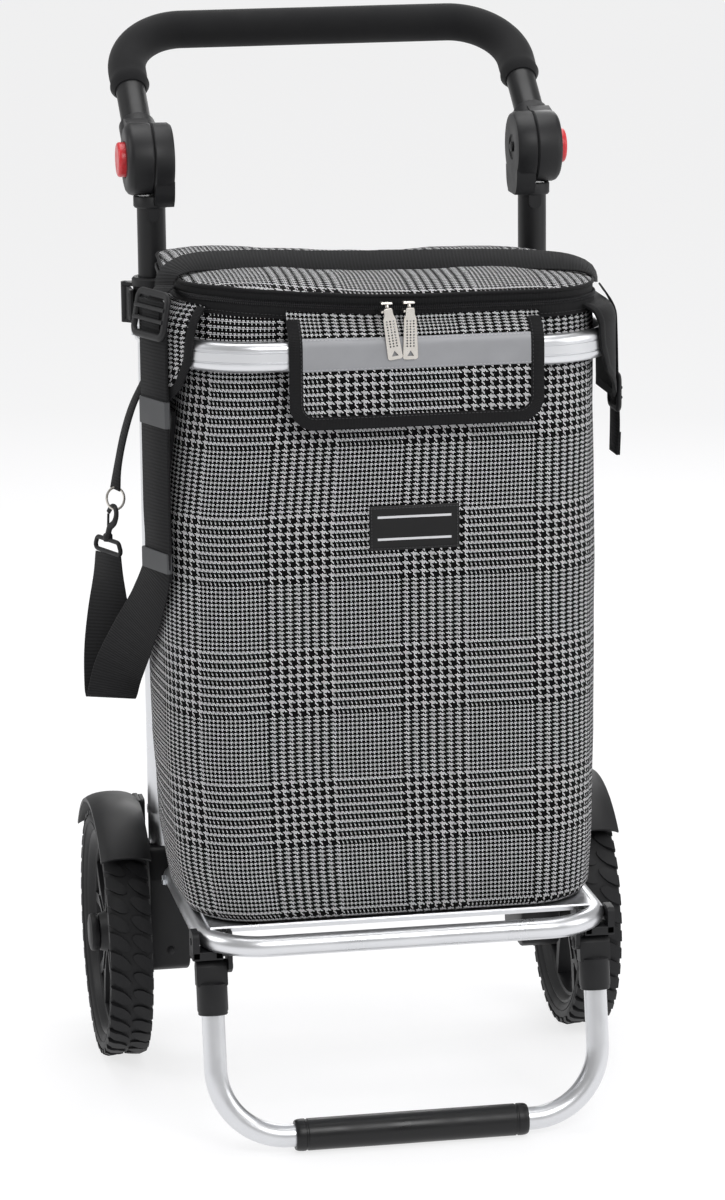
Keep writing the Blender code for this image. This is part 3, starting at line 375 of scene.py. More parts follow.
def block(bm, low, high, bevel=0.0, segments=3, turn=None):
    """A box between two corners with rounded edges, turned by a matrix if one is given."""
    low, high = Vector(map(min, low, high)), Vector(map(max, low, high))
    place = Matrix.Translation((low + high) / 2) @ Matrix.Diagonal((*(high - low), 1))
    made = bmesh.ops.create_cube(bm, size=1, matrix=place)["verts"]
    if bevel:
        edges = list({edge for vert in made for edge in vert.link_edges})
        cut = bmesh.ops.bevel(bm, geom=edges, offset=bevel, segments=segments, profile=0.5, affect="EDGES")
        made = list({vert for face in cut["faces"] for vert in face.verts} | {v for v in made if v.is_valid})
    if turn:
        bmesh.ops.transform(bm, matrix=turn, verts=made)
    return made


low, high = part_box("support_plate")
low.y, high.y = low.y - PLANE, high.y - PLANE
bm = bmesh.new()
lip = [(low.y + 0.006, low.z - 0.006), (low.y, low.z - 0.004), (low.y - 0.0012, low.z), (low.y, high.z),
       (high.y, high.z), (high.y, low.z), (low.y + 0.002, low.z), (low.y + 0.0035, low.z - 0.003)]
sweep(bm, [(low.x, 0, 0), (high.x, 0, 0)], [(-y, z) for y, z in lip], up=(0, 0, 1))
for sign in (-1, 1):
    for along in (0.3, 0.7):
        spot = (sign * (high.x - 0.006), low.y + (high.y - low.y) * along, high.z)
        turned(bm, [(0.0042, -0.0005), (0.0038, 0.0006), (0.0022, 0.0013), (0, 0.0015)], spot, (0, 0, 1), 20)
finished("bag_support_plate", bm, anodised, "platform", "support_plate")


# ---- handle bow and foam grip --------------------------------------------------------------------
# One powder-coated tube is bent into a bow. A sleeve of closed-cell foam is pushed over its middle
# and stops on each arm at a raised end ring.

PIVOT_Z, ARM_X, ARM_R = 0.912, 0.197, 0.0145
HANDLE_LONG, HANDLE_BEND, GRIP_FROM, GRIP_R = 0.190, 0.062, 0.100, 0.019
ARM_TILT = 55.0  # degrees back from upright
ARM_ALONG = Vector((0, math.sin(math.radians(ARM_TILT)), math.cos(math.radians(ARM_TILT))))
PIVOT = Vector((0, 0, PIVOT_Z))
ARM_SIDE = Vector((ARM_X, 0, 0))


def bow(start):
    """The handle's centre line from a distance along one arm to the same place on the other."""
    corners = [PIVOT - ARM_SIDE + ARM_ALONG * start, PIVOT - ARM_SIDE + ARM_ALONG * HANDLE_LONG,
               PIVOT + ARM_SIDE + ARM_ALONG * HANDLE_LONG, PIVOT + ARM_SIDE + ARM_ALONG * start]
    return rounded(corners, [0, HANDLE_BEND, HANDLE_BEND, 0])


bm = bmesh.new()
sweep(bm, bow(0.0365), round_outline(ARM_R, 48))
for side, sign in SIDES:
    rivet = PIVOT + ARM_SIDE * sign + ARM_ALONG * (GRIP_FROM - 0.012)
    turned(bm, [(0.0036, ARM_R - 0.0008), (0.0034, ARM_R + 0.0005), (0.002, ARM_R + 0.0011),
                (0, ARM_R + 0.0013)], rivet, ARM_ALONG.cross((1, 0, 0)), 20)
finished("handle_bow", bm, powder_coat, "handle", "handle_tube")

# EVA foam: extruded and buffed, so it is matt, with fine open cells and a soft bloom at its edges.
foam = coated("eva_foam", "grip", "0e0e10", 0.85,
              (1.3, 0.10, 0.78, 0.92), ("0b0b0c", "151517"), Specular_IOR_Level=0.25, Sheen_Weight=0.06,
              Sheen_Roughness=0.5)
path = bow(GRIP_FROM)
ease = [min(i, len(path) - 1 - i) for i in range(len(path))]
shape = [math.sqrt(max(0.0, 1 - max(0.0, 1 - k * 0.0012 / 0.0035) ** 2)) for k in ease]
path = [a + (b - a) * t for a, b in zip(path, path[1:]) for t in (0, 0.25, 0.5, 0.75)] + [path[-1]]
run = [0.0]
for a, b in zip(path, path[1:]):
    run.append(run[-1] + (b - a).length)
scales = []
for distance in run:
    end = min(distance, run[-1] - distance)
    round_off = 1 - 0.16 * (1 - min(1.0, end / 0.004)) ** 2
    ring = 0.045 * math.exp(-((end - 0.0075) / 0.0022) ** 2) - 0.035 * math.exp(-((end - 0.0125) / 0.0016) ** 2)
    scales.append(round_off + ring + 0.006 * noise.noise(Vector((distance * 18, 0, 3.1))))
bm = bmesh.new()
sweep(bm, path, round_outline(GRIP_R - 0.0002, 44), scales=scales)
finished("foam_grip", bm, foam, "handle", "grip_foam", smooth=60)


# ---- pivot housings and push-buttons ---------------------------------------------------------------
# Each arm turns on its leg in a pair of moulded discs. The inner disc sits on the leg, the outer one
# on the arm, and a red button through the outer disc frees the toothed lock between them.

DISC_R, DISC_SPLIT, DISC_INNER, DISC_OUTER = 0.035, 0.1895, 0.1690, 0.2155
BUTTON_R = 0.017

# Moulded polypropylene: black, with the fine spark-eroded grain of its mould. The real grain of
# about 0.2 mm is drawn at 0.7 mm, as the finer one wouldn't show.
moulded = coated("moulded_polypropylene", "black_plastic", "101012", 0.5,
                 (0.7, 0.02, 0.42, 0.56), ("0c0c0e", "161618"), Specular_IOR_Level=0.35)
# Red ABS: moulded and polished, a satin gloss, a little scuffed in the middle by thumbs.
red_abs = coated("red_abs", "red_button", "c2262c", 0.32, (0.9, 0.006, 0.26, 0.42, 9), ("b81f26", "cc3037"))
# Zinc-plated steel: bright, slightly blue, with fine turning marks.
zinc = coated("zinc_plated_steel", "steel", "bfc2c6", 0.28,
              (0.8, 0.008, 0.22, 0.36, 12), ("b2b6bb", "cbced1"), Metallic=1.0)


def show_in(node, finish):
    """A CAD node that is shown as it is, in the given material."""
    nodes[node].data.materials.clear()
    nodes[node].data.materials.append(finish)


for side, sign in SIDES:
    inner_low, inner_high = DISC_INNER, DISC_SPLIT - 0.0002
    bm = bmesh.new()
    profile = [(0, inner_low + 0.002), (0.012, inner_low + 0.002), (0.013, inner_low + 0.0006),
               (0.027, inner_low), (0.0325, inner_low + 0.0008), (DISC_R - 0.0002, inner_low + 0.004),
               (DISC_R, inner_high - 0.0016), (DISC_R - 0.0012, inner_high), (0, inner_high)]
    turned(bm, outboard(profile, sign), PIVOT, sides=72)
    boss = [(0.0052, inner_low + 0.0022), (0.005, inner_low - 0.0002), (0.003, inner_low - 0.001),
            (0, inner_low - 0.0012)]
    turned(bm, outboard(boss, sign), PIVOT, sides=24)
    x = sign * UPRIGHT_X
    neck_top, neck_low = PIVOT_Z - DISC_R - 0.0004, PIVOT_Z - DISC_R - 0.012
    turned(bm, [(LEG_R, neck_low), (LEG_R + 0.0022, neck_low), (LEG_R + 0.0033, neck_low + 0.0015),
                (LEG_R + 0.0033, neck_top - 0.001), (LEG_R + 0.0026, neck_top), (LEG_R, neck_top)],
           (x, 0, 0), (0, 0, 1), 48)
    web = rounded([(-0.0155, neck_low + 0.001, 0), (-0.024, neck_top - 0.002, 0), (-0.026, PIVOT_Z - 0.02, 0),
                   (0.026, PIVOT_Z - 0.02, 0), (0.024, neck_top - 0.002, 0), (0.0155, neck_low + 0.001, 0)],
                  [0.002, 0.02, 0, 0, 0.02, 0.002], 0.002, closed=True)
    plate(bm, sign, inner_low + 0.0004, inner_high - 0.0006, web)
    tongue = rounded([(-0.006, neck_low + 0.004, 0), (-0.006, neck_low - 0.013, 0),
                      (0.006, neck_low - 0.013, 0), (0.006, neck_low + 0.004, 0)], [0, 0.0055, 0.0055, 0], 0.001)
    for face_y in (-LEG_R, LEG_R):
        out = math.copysign(1, face_y)
        sweep(bm, [(x, face_y - out * 0.003, 0), (x, face_y + out * 0.0018, 0)],
              [(p.x * out, p.y) for p in tongue], up=(0, 0, 1))
    finished(f"leg_disc_{side}", bm, moulded, "telescope", f"lower_housing_{side}")

    outer_low, outer_high = DISC_SPLIT + 0.0002, DISC_OUTER
    bm = bmesh.new()
    profile = [(0, outer_low), (DISC_R - 0.0012, outer_low), (DISC_R, outer_low + 0.0016),
               (DISC_R, outer_high - 0.0070), (DISC_R - 0.0012, outer_high - 0.0035),
               (DISC_R - 0.0040, outer_high - 0.0012), (DISC_R - 0.0080, outer_high - 0.0002),
               (BUTTON_R + 0.0032, outer_high), (BUTTON_R + 0.0010, outer_high - 0.0006),
               (BUTTON_R + 0.0005, outer_high - 0.002), (BUTTON_R + 0.0005, outer_high - 0.0145),
               (0, outer_high - 0.0145)]
    turned(bm, outboard(profile, sign), PIVOT, sides=72)
    root = PIVOT + ARM_SIDE * sign
    socket_r = ARM_R + 0.0033
    turned(bm, [(ARM_R, 0.026), (socket_r, 0.026), (socket_r, 0.0480), (socket_r - 0.001, 0.0495),
                (ARM_R + 0.0004, 0.0495), (ARM_R, 0.046), (ARM_R, 0.026)], root, ARM_ALONG, 48)
    cheek = rounded([(-0.0305, 0.010, 0), (-0.0165, 0.0440, 0), (0.0165, 0.0440, 0), (0.0305, 0.010, 0)],
                    [0.002, 0.012, 0.012, 0.002], 0.002, closed=True)
    turn = Matrix.Rotation(-math.radians(ARM_TILT), 3, "X")
    plate(bm, sign, outer_low + 0.0006, ARM_X + socket_r - 0.003,
          [(PIVOT + turn @ Vector((0, p.x, p.y))).yz for p in cheek])
    finished(f"arm_disc_{side}", bm, moulded, "handle", f"upper_housing_{side}")

    face = DISC_OUTER + 0.0070
    bm = bmesh.new()
    dome = [(0, face - 0.0004)] + [(r, face - 0.0004 + 0.0004 * (r / 0.011) ** 2) for r in (0.004, 0.008, 0.011)]
    profile = dome + [(BUTTON_R - 0.0022, face), (BUTTON_R - 0.0009, face - 0.0006),
                      (BUTTON_R - 0.0001, face - 0.0018), (BUTTON_R, face - 0.0035), (BUTTON_R, face - 0.0165),
                      (BUTTON_R - 0.003, face - 0.0165), (BUTTON_R - 0.003, face - 0.003), (0, face - 0.003)]
    turned(bm, outboard(profile, sign), PIVOT, sides=56)
    finished(f"push_button_{side}", bm, red_abs, f"button_{side}", f"button_{side}")
    show_in(f"button_spring_{side}", zinc)


# ---- clamp collars, levers and hinge bolts -----------------------------------------------------------
# A split plastic collar on each upright's top grips the leg. Its cam lever turns on a pin at the
# side, and a lug ahead of it carries the upper bow on a bolt.

COLLAR_R, COLLAR_LOW, COLLAR_TOP = 0.0205, 0.742, 0.797
LUG_OUT = HOOP_X - HOOP_THICK / 2 - 0.0006
LUG_IN = LUG_OUT - 0.0056
LEVER_PIN_X, LEVER_PIN_Y, LEVER_LOW, LEVER_TOP = 0.2154, 0.015, 0.7545, 0.7865


def hinge_bolt(name, sign, inner, outer, height, *replaced, head=True):
    """A bolt along X with a domed head inside and a hexagon nut outside, on a washer."""
    bm = bmesh.new()
    centre = (0, FOLD_Y, height)
    shaft = [(0, inner), (0.003, inner), (0.003, outer + 0.001), (0, outer + 0.001)]
    turned(bm, outboard(shaft, sign), centre, sides=20)
    if head:
        dome = [(0, inner), (0.0055, inner), (0.0055, inner - 0.0008), (0.0045, inner - 0.0025),
                (0.0025, inner - 0.0036), (0, inner - 0.004)]
        turned(bm, outboard(dome, sign), centre, sides=28)
    washer = [(0, outer), (0.0055, outer), (0.0055, outer + 0.0007), (0, outer + 0.0007)]
    turned(bm, outboard(washer, sign), centre, sides=28)
    nut = [(0, outer + 0.0006), (0.0051, outer + 0.0006), (0.0054, outer + 0.0011), (0.0054, outer + 0.0031),
           (0.0048, outer + 0.0036), (0, outer + 0.0036)]
    turned(bm, outboard(nut, sign), centre, sides=6)
    finished(name, bm, zinc, "frame", *replaced)


for side, sign in SIDES:
    x = sign * UPRIGHT_X
    bm = bmesh.new()
    turned(bm, [(LEG_R + 0.0003, COLLAR_TOP - 0.001), (LEG_R + 0.0015, COLLAR_TOP), (COLLAR_R - 0.0018, COLLAR_TOP),
                (COLLAR_R, COLLAR_TOP - 0.002), (COLLAR_R, COLLAR_TOP - 0.0085),
                (COLLAR_R - 0.0011, COLLAR_TOP - 0.0095),
                (COLLAR_R - 0.0011, COLLAR_LOW + 0.0095), (COLLAR_R, COLLAR_LOW + 0.0085),
                (COLLAR_R, COLLAR_LOW + 0.001),
                (COLLAR_R - 0.001, COLLAR_LOW), (UPRIGHT_R + 0.0003, COLLAR_LOW), (UPRIGHT_R + 0.0003, 0.7753),
                (LEG_R + 0.0003, 0.7753), (LEG_R + 0.0003, COLLAR_TOP - 0.001)], (x, 0, 0), (0, 0, 1), 64)
    outline = rounded([(-0.0155, HOOP_Z - 0.0118, 0), (FOLD_Y - 0.0118, HOOP_Z - 0.0118, 0),
                       (FOLD_Y - 0.0118, HOOP_Z + 0.0118, 0), (-0.0155, HOOP_Z + 0.0118, 0)],
                      [0, 0.0117, 0.0117, 0], 0.001)
    plate(bm, sign, LUG_IN, LUG_OUT, outline)
    rib = [(-0.017, HOOP_Z - 0.0085), (-0.060, HOOP_Z - 0.003), (-0.060, HOOP_Z + 0.003), (-0.017, HOOP_Z + 0.0085)]
    plate(bm, sign, LUG_IN - 0.0012, LUG_IN + 0.001, rib)
    for low, high in ((LEVER_LOW - 0.004, LEVER_LOW - 0.0004), (LEVER_TOP + 0.0004, LEVER_TOP + 0.004)):
        ear = [(x + sign * 0.012, -0.0045), (sign * (LEVER_PIN_X + 0.0005), LEVER_PIN_Y - 0.0045)]
        ear += [(sign * LEVER_PIN_X + sign * 0.0042 * math.sin(a), LEVER_PIN_Y - 0.0042 * math.cos(a))
                for a in (math.radians(d) for d in range(20, 181, 20))]
        ear += [(x + sign * 0.012, 0.0165)]
        sweep(bm, [(0, 0, low), (0, 0, high)], [(p[0], -p[1]) for p in ear], up=(0, -1, 0))
    turned(bm, [(0, LEVER_LOW - 0.003), (0.002, LEVER_LOW - 0.003), (0.002, LEVER_TOP + 0.0044),
                (0, LEVER_TOP + 0.0048)], (sign * LEVER_PIN_X, LEVER_PIN_Y, 0), (0, 0, 1), 20)
    finished(f"collar_{side}", bm, moulded, "frame", f"clamp_collar_{side}")
    hinge_bolt(f"upper_bow_bolt_{side}", sign, LUG_IN, HOOP_X + HOOP_THICK / 2, HOOP_Z,
               f"hoop_hinge_bolt_{side}", head=False)

    inner = UPRIGHT_X + COLLAR_R + 0.0006
    bm = bmesh.new()
    paddle = [(inner, 0.0125), (inner, -0.0165), (inner + 0.0012, -0.0182), (inner + 0.0034, -0.0182),
              (inner + 0.0045, -0.0168), (inner + 0.0030, -0.0095), (inner + 0.0028, -0.0010),
              (inner + 0.0042, 0.0080), (inner + 0.0045, 0.0125)]
    sweep(bm, [(0, 0, z) for z in (LEVER_LOW, LEVER_LOW + 0.0012, LEVER_TOP - 0.0012, LEVER_TOP)],
          [(sign * px, -py) for px, py in paddle], up=(0, -1, 0))
    turned(bm, [(0, LEVER_LOW), (0.0042, LEVER_LOW), (0.0042, LEVER_TOP), (0, LEVER_TOP)],
           (sign * LEVER_PIN_X, LEVER_PIN_Y, 0), (0, 0, 1), 32)
    for step in range(4):
        y = -0.0155 + step * 0.0032
        block(bm, (sign * (inner + 0.0020), y, LEVER_LOW + 0.005),
              (sign * (inner + 0.0042), y + 0.0014, LEVER_TOP - 0.005),
              0.0004, 2)
    finished(f"cam_lever_{side}", bm, moulded, f"clamp_lever_{side}", f"clamp_lever_{side}")


# ---- wheel brackets -------------------------------------------------------------------------------
# Moulded blocks that hold the upright, the axle and the mudguard's stay. A webbed arm reaches
# forward to the platform's hinge bolt.

BRACKET_INNER, BRACKET_OUTER, BRACKET_LOW, BRACKET_TOP = 0.1705, 0.2105, 0.095, 0.222
AXLE_Y, WHEEL_R, WHEEL_X = 0.022, 0.125, 0.238

for side, sign in SIDES:
    bm = bmesh.new()
    shell = rounded([(-0.034, BRACKET_LOW + 0.006, 0), (-0.034, BRACKET_TOP - 0.03, 0), (-0.021, BRACKET_TOP, 0),
                     (0.021, BRACKET_TOP, 0), (0.050, 0.165, 0), (0.050, BRACKET_LOW, 0), (-0.024, BRACKET_LOW, 0)],
                    [0.006, 0.012, 0.008, 0.010, 0.015, 0.008, 0.006], 0.002, closed=True)
    edge, nick = 0.0025, 0.0008
    xs = [BRACKET_INNER, BRACKET_INNER + nick, BRACKET_INNER + edge, BRACKET_OUTER - edge, BRACKET_OUTER - nick,
          BRACKET_OUTER]
    centre_y, centre_z = 0.008, 0.155
    sweep(bm, [(sign * x, centre_y, centre_z) for x in xs],
          [(-(p.x - centre_y) * sign, p.y - centre_z) for p in shell], up=(0, 0, 1),
          scales=[1 - inset / 0.05 for inset in (edge, nick, 0.0, 0.0, nick, edge)])
    arm = rounded([(-0.030, PLATFORM_Z - 0.0118, 0), (FOLD_Y - 0.0118, PLATFORM_Z - 0.0118, 0),
                   (FOLD_Y - 0.0118, PLATFORM_Z + 0.0118, 0), (-0.030, PLATFORM_Z + 0.0118, 0)],
                  [0, 0.0117, 0.0117, 0], 0.001)
    plate(bm, sign, BRACKET_INNER, BRACKET_INNER + 0.0070, arm)
    for z in (PLATFORM_Z - 0.0085, PLATFORM_Z + 0.0085):
        block(bm, (sign * (BRACKET_INNER + 0.006), -0.060, z - 0.0012),
              (sign * (BRACKET_INNER + 0.0105), -0.030, z + 0.0012),
              0.0006, 2)
    turned(bm, [(0, 0), (0.0085, 0), (0.0085, 0.0024), (0.0075, 0.0032), (0, 0.0032)],
           (sign * (BRACKET_OUTER - 0.0005), AXLE_Y, WHEEL_R), (sign, 0, 0), 36)
    stay = rounded([(0.018, BRACKET_TOP - 0.03, 0), (0.018, 0.262, 0), (0.044, 0.262, 0), (0.044, 0.175, 0)],
                   [0, 0.004, 0.004, 0], 0.001)
    plate(bm, sign, BRACKET_OUTER - 0.0038, BRACKET_OUTER, stay)
    for z in (0.118, 0.200):
        turned(bm, [(0.0040, 0.0335), (0.0038, 0.0352), (0.0022, 0.0362), (0, 0.0364)],
               (sign * UPRIGHT_X, 0, z), (0, -1, 0), 24)
    finished(f"bracket_{side}", bm, moulded, "frame", f"wheel_bracket_{side}")
    hinge_bolt(f"platform_bolt_{side}", sign, BRACKET_INNER - 0.0003, UPRIGHT_X + PLATFORM_R, PLATFORM_Z,
               f"platform_hinge_bolt_{side}")


# ---- mudguards --------------------------------------------------------------------------------------
# Moulded arcs over the wheels, crowned across and rolled at the rim, each fixed to its bracket's
# stay by a zinc-plated bolt.

FENDER_R, FENDER_WIDE, FENDER_THICK, FENDER_CROWN = WHEEL_R + 0.014, 0.050, 0.003, 0.006
for side, sign in SIDES:
    outline = []
    for k in range(13):
        u = k / 6 - 1
        outline.append((u * FENDER_WIDE / 2, FENDER_THICK - FENDER_CROWN * u * u * (0.55 + 0.45 * u * u)))
    lower = [(u * 0.985, v - FENDER_THICK + 0.0004) for u, v in outline[::-1]]
    outline = [(outline[0][0], outline[0][1] - 0.0035)] + outline + [(outline[-1][0], outline[-1][1] - 0.0035)]
    path, ups = [], []
    for i in range(61):
        turn = math.radians(47.0 + 93.0 * i / 60)
        out = Vector((0, -math.cos(turn), math.sin(turn)))
        path.append(Vector((sign * WHEEL_X, AXLE_Y, WHEEL_R)) + out * FENDER_R)
        ups.append(out)
    bm = bmesh.new()
    sweep(bm, path, outline + lower, up=ups)
    block(bm, (sign * (BRACKET_OUTER + 0.0003), 0.016, 0.232),
          (sign * (WHEEL_X - FENDER_WIDE / 2 + 0.003), 0.046, 0.262),
          0.0008, 2)
    finished(f"mudguard_{side}", bm, moulded, "frame", f"fender_{side}", smooth=45)
    bm = bmesh.new()
    turned(bm, [(0, -0.002), (0.0048, -0.002), (0.0048, 0.0006), (0.0030, 0.0022), (0, 0.0026)],
           (sign * (BRACKET_INNER + 0.030), 0.031, 0.249), (-sign, 0, 0), 28)
    finished(f"mudguard_bolt_{side}", bm, zinc, "frame")


# ---- wheels ------------------------------------------------------------------------------------------
# A rubber tyre with leaf-shaped tread blocks on a moulded rim of five forked spokes. A pressed cap
# covers the axle's end, and a steel bush runs on the axle.

# Solid tyre rubber: moulded, dark grey-black, matt, slightly dusty between the tread blocks.
tyre_rubber = coated("tyre_rubber", "tyre", "111112", 0.62,
                     (1.0, 0.03, 0.52, 0.72), ("0d0d0e", "1b1b1d"), Specular_IOR_Level=0.3)


def repeat_tree():
    """Sets a unit shape at even spacing along a line: its Z to the line's stored out, its X along it."""
    made = bpy.data.node_groups.new("set_along_a_line", "GeometryNodeTree")
    made.interface.new_socket("Line", in_out="INPUT", socket_type="NodeSocketGeometry")
    for name, kind in (("Unit", "NodeSocketObject"), ("Spacing", "NodeSocketFloat"), ("Finish", "NodeSocketMaterial")):
        made.interface.new_socket(name, in_out="INPUT", socket_type=kind)
    made.interface.new_socket("Set", in_out="OUTPUT", socket_type="NodeSocketGeometry")
    given = add(made, "NodeGroupInput")
    line = add(made, "GeometryNodeMeshToCurve", {"Mesh": given.outputs["Line"]})
    evened = add(made, "GeometryNodeResampleCurve", {"Curve": line.outputs["Curve"],
                                                     "Length": given.outputs["Spacing"]},
                 mode="LENGTH")
    out = add(made, "GeometryNodeInputNamedAttribute", {"Name": "out"}, data_type="FLOAT_VECTOR")
    stand = add(made, "FunctionNodeAlignRotationToVector", {"Vector": out.outputs["Attribute"]}, axis="Z")
    ahead = add(made, "GeometryNodeInputTangent")
    turn = add(made, "FunctionNodeAlignRotationToVector",
               {"Rotation": stand.outputs["Rotation"], "Vector": ahead.outputs["Tangent"]}, axis="X", pivot_axis="Z")
    unit = add(made, "GeometryNodeObjectInfo", {"Object": given.outputs["Unit"], "As Instance": True})
    placed = add(made, "GeometryNodeInstanceOnPoints", {"Points": evened.outputs["Curve"],
                 "Instance": unit.outputs["Geometry"], "Rotation": turn.outputs["Rotation"]})
    real = add(made, "GeometryNodeRealizeInstances", {"Geometry": placed.outputs["Instances"]})
    coloured = add(made, "GeometryNodeSetMaterial", {"Geometry": real.outputs["Geometry"],
                                                    "Material": given.outputs["Finish"]})
    add(made, "NodeGroupOutput", {"Set": coloured.outputs["Geometry"]})
    return made


ALONG_A_LINE = repeat_tree()


def set_along(bm, unit, spacing, path, outs, finish, closed=False):
    """Adds copies of a unit mesh along a path to bm, made by the node tree and then realised."""
    line = bpy.data.meshes.new("line")
    edges = [(i, i + 1) for i in range(len(path) - 1)] + ([(len(path) - 1, 0)] if closed else [])
    line.from_pydata([tuple(point) for point in path], edges, [])
    stored = line.attributes.new("out", "FLOAT_VECTOR", "POINT")
    stored.data.foreach_set("vector", [c for out in outs for c in out])
    unit_data = bpy.data.meshes.new("unit")
    unit.to_mesh(unit_data)
    holder, shape = bpy.data.objects.new("line", line), bpy.data.objects.new("unit", unit_data)
    for made in (holder, shape):
        bpy.context.scene.collection.objects.link(made)
    step = holder.modifiers.new("set", "NODES")
    step.node_group = ALONG_A_LINE
    names = {item.name: item.identifier for item in ALONG_A_LINE.interface.items_tree if item.in_out == "INPUT"}
    step[names["Unit"]], step[names["Spacing"]], step[names["Finish"]] = shape, spacing, finish
    graph = bpy.context.evaluated_depsgraph_get()
    result = bpy.data.meshes.new_from_object(holder.evaluated_get(graph))
    count = len(result.polygons)
    before = len(bm.faces)
    bm.from_mesh(result)
    bpy.data.objects.remove(holder)
    bpy.data.objects.remove(shape)
    bpy.data.meshes.remove(result)
    bm.faces.ensure_lookup_table()
    return [bm.faces[i] for i in range(before, before + count)]


RIM_R = WHEEL_R - 0.021
TREAD_BASE = WHEEL_R - 0.0022
LEAVES, LEAF_FROM, LEAF_TO = 40, 0.0012, 0.0212
LEAF = ((0.0, 0.20), (0.18, 0.62), (0.45, 0.84), (0.75, 0.80), (1.0, 0.62))  # share along it, share of its pitch
for side, sign in SIDES:
    centre = Vector((sign * WHEEL_X, AXLE_Y, WHEEL_R))
    half = [(RIM_R, 0.0165), (RIM_R + 0.002, 0.0185), (RIM_R + 0.0055, 0.0196), (RIM_R + 0.010, 0.0214),
            (TREAD_BASE - 0.0060, 0.0216), (TREAD_BASE - 0.0030, 0.0200), (TREAD_BASE - 0.0008, 0.0160),
            (TREAD_BASE, 0.0080)]
    profile = half + [(TREAD_BASE, 0.0)] + [(r, -a) for r, a in half[::-1]]
    bm = bmesh.new()
    turned(bm, profile + profile[:1], centre, sides=120)
    circle = [math.tau * i / 160 for i in range(160)]
    for toward, offset in ((1, 0.0), (-1, 0.5)):  # the two rows lean opposite ways, half a leaf apart
        unit = bmesh.new()
        left, right = [], []
        for t, share in LEAF:
            along_leaf = (LEAF_TO - LEAF_FROM) * t
            drift, half_leaf = along_leaf * toward * 0.558, math.tau * WHEEL_R / LEAVES * share * 0.44
            top_z = 0.0022 - (0.0006 if t == 0.0 else 0) + (-0.0022 if t == 1.0 else 0.0)
            for row, x in ((left, drift - half_leaf), (right, drift + half_leaf)):
                row.append((x, toward * (LEAF_FROM + along_leaf), top_z, t))
        loop = left + right[::-1]
        top = [unit.verts.new((x, y, z)) for x, y, z, t in loop]
        base = [unit.verts.new((x * 1.04, y + (toward * 0.0005 if t == 1.0 else 0), -0.004)) for x, y, z, t in loop]
        count = len(loop)
        for i in range(len(LEAF) - 1):
            unit.faces.new((top[i], top[i + 1], top[count - 2 - i], top[count - 1 - i]))
            unit.faces.new((base[i + 1], base[i], base[count - 1 - i], base[count - 2 - i]))
        for i in range(count):
            unit.faces.new((top[i], base[i], base[(i + 1) % count], top[(i + 1) % count]))
        bmesh.ops.recalc_face_normals(unit, faces=unit.faces)
        shift = offset * math.tau / LEAVES
        outs = [Vector((0, math.cos(a + shift), math.sin(a + shift))) for a in circle]
        path = [centre + out * TREAD_BASE for out in outs]
        set_along(bm, unit, math.tau * TREAD_BASE / LEAVES * 0.9995, path, outs, tyre_rubber, closed=True)
        unit.free()
    radius = RIM_R + 0.0075  # a fine moulded line runs round each wall
    for way in (-1, 1):
        turned(bm, outboard([(radius - 0.0006, 0.0197), (radius, 0.0211), (radius + 0.0006, 0.0197),
                             (radius - 0.0006, 0.0197)], way), centre, sides=120)
    finished(f"tread_tyre_{side}", bm, tyre_rubber, f"wheel_{side}", f"tyre_{side}")

    bm = bmesh.new()
    rim = [(RIM_R - 0.0003, 0.0165), (RIM_R - 0.0022, 0.0170), (RIM_R - 0.0040, 0.0158), (RIM_R - 0.0060, 0.0120),
           (RIM_R - 0.0075, 0.0100), (RIM_R - 0.0105, 0.0092), (RIM_R - 0.011, 0.0080)]
    profile = rim + [(r, -a) for r, a in rim[::-1]]
    turned(bm, profile + profile[:1], centre, sides=120)
    hub = [(0.0095, 0.0195), (0.0150, 0.0195), (0.0172, 0.0188), (0.0190, 0.0170), (0.0205, 0.0105), (0.0225, 0.0085)]
    turned(bm, hub + [(r, -a) for r, a in hub[::-1]] + hub[:1], centre, sides=64)
    fork = rounded([(0.0170, -0.0085, 0), (0.0420, -0.0068, 0), (0.0620, -0.0120, 0), (0.0955, -0.0265, 0),
                    (0.0985, -0.0175, 0), (0.0665, -0.0015, 0), (0.0665, 0.0015, 0), (0.0985, 0.0175, 0),
                    (0.0955, 0.0265, 0), (0.0620, 0.0120, 0), (0.0420, 0.0068, 0), (0.0170, 0.0085, 0)],
                   [0, 0.04, 0.05, 0, 0, 0.0016, 0.0016, 0, 0, 0.05, 0.04, 0], 0.003, closed=True)
    rib = rounded([(0.020, -0.0022, 0), (0.062, -0.0022, 0), (0.062, 0.0022, 0), (0.020, 0.0022, 0)], [0.001] * 4,
                  0.001, closed=True)
    for i in range(5):
        turn = Matrix.Rotation(math.radians(90 + 72 * i), 3, "X")
        for shape, xs in ((fork, (-0.0092, -0.0080, 0.0080, 0.0092)), (rib, (-0.0108, 0.0108))):
            outline = [turn @ Vector((0, p.x, p.y)) for p in shape]
            sweep(bm, [centre + Vector((x, 0, 0)) for x in xs], [(-o.y, o.z) for o in outline], up=(0, 0, 1))
    finished(f"spoked_rim_{side}", bm, moulded, f"wheel_{side}", f"rim_{side}")

    low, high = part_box(f"hub_cap_{side}")
    inner, outer = sorted((abs(low.x), abs(high.x)))
    bm = bmesh.new()
    cap = [(0, inner + 0.0012), (0.0165, inner + 0.0012), (0.0170, inner), (0.0186, inner), (0.019, inner + 0.0008),
           (0.019, outer - 0.0034), (0.0182, outer - 0.0018), (0.0150, outer - 0.0006), (0.0142, outer - 0.0010),
           (0.0135, outer - 0.0006), (0.008, outer), (0, outer)]
    turned(bm, outboard(cap, sign), (0, AXLE_Y, WHEEL_R), sides=64)
    finished(f"axle_cap_{side}", bm, moulded, f"wheel_{side}", f"hub_cap_{side}")
    show_in(f"wheel_bush_{side}", zinc)

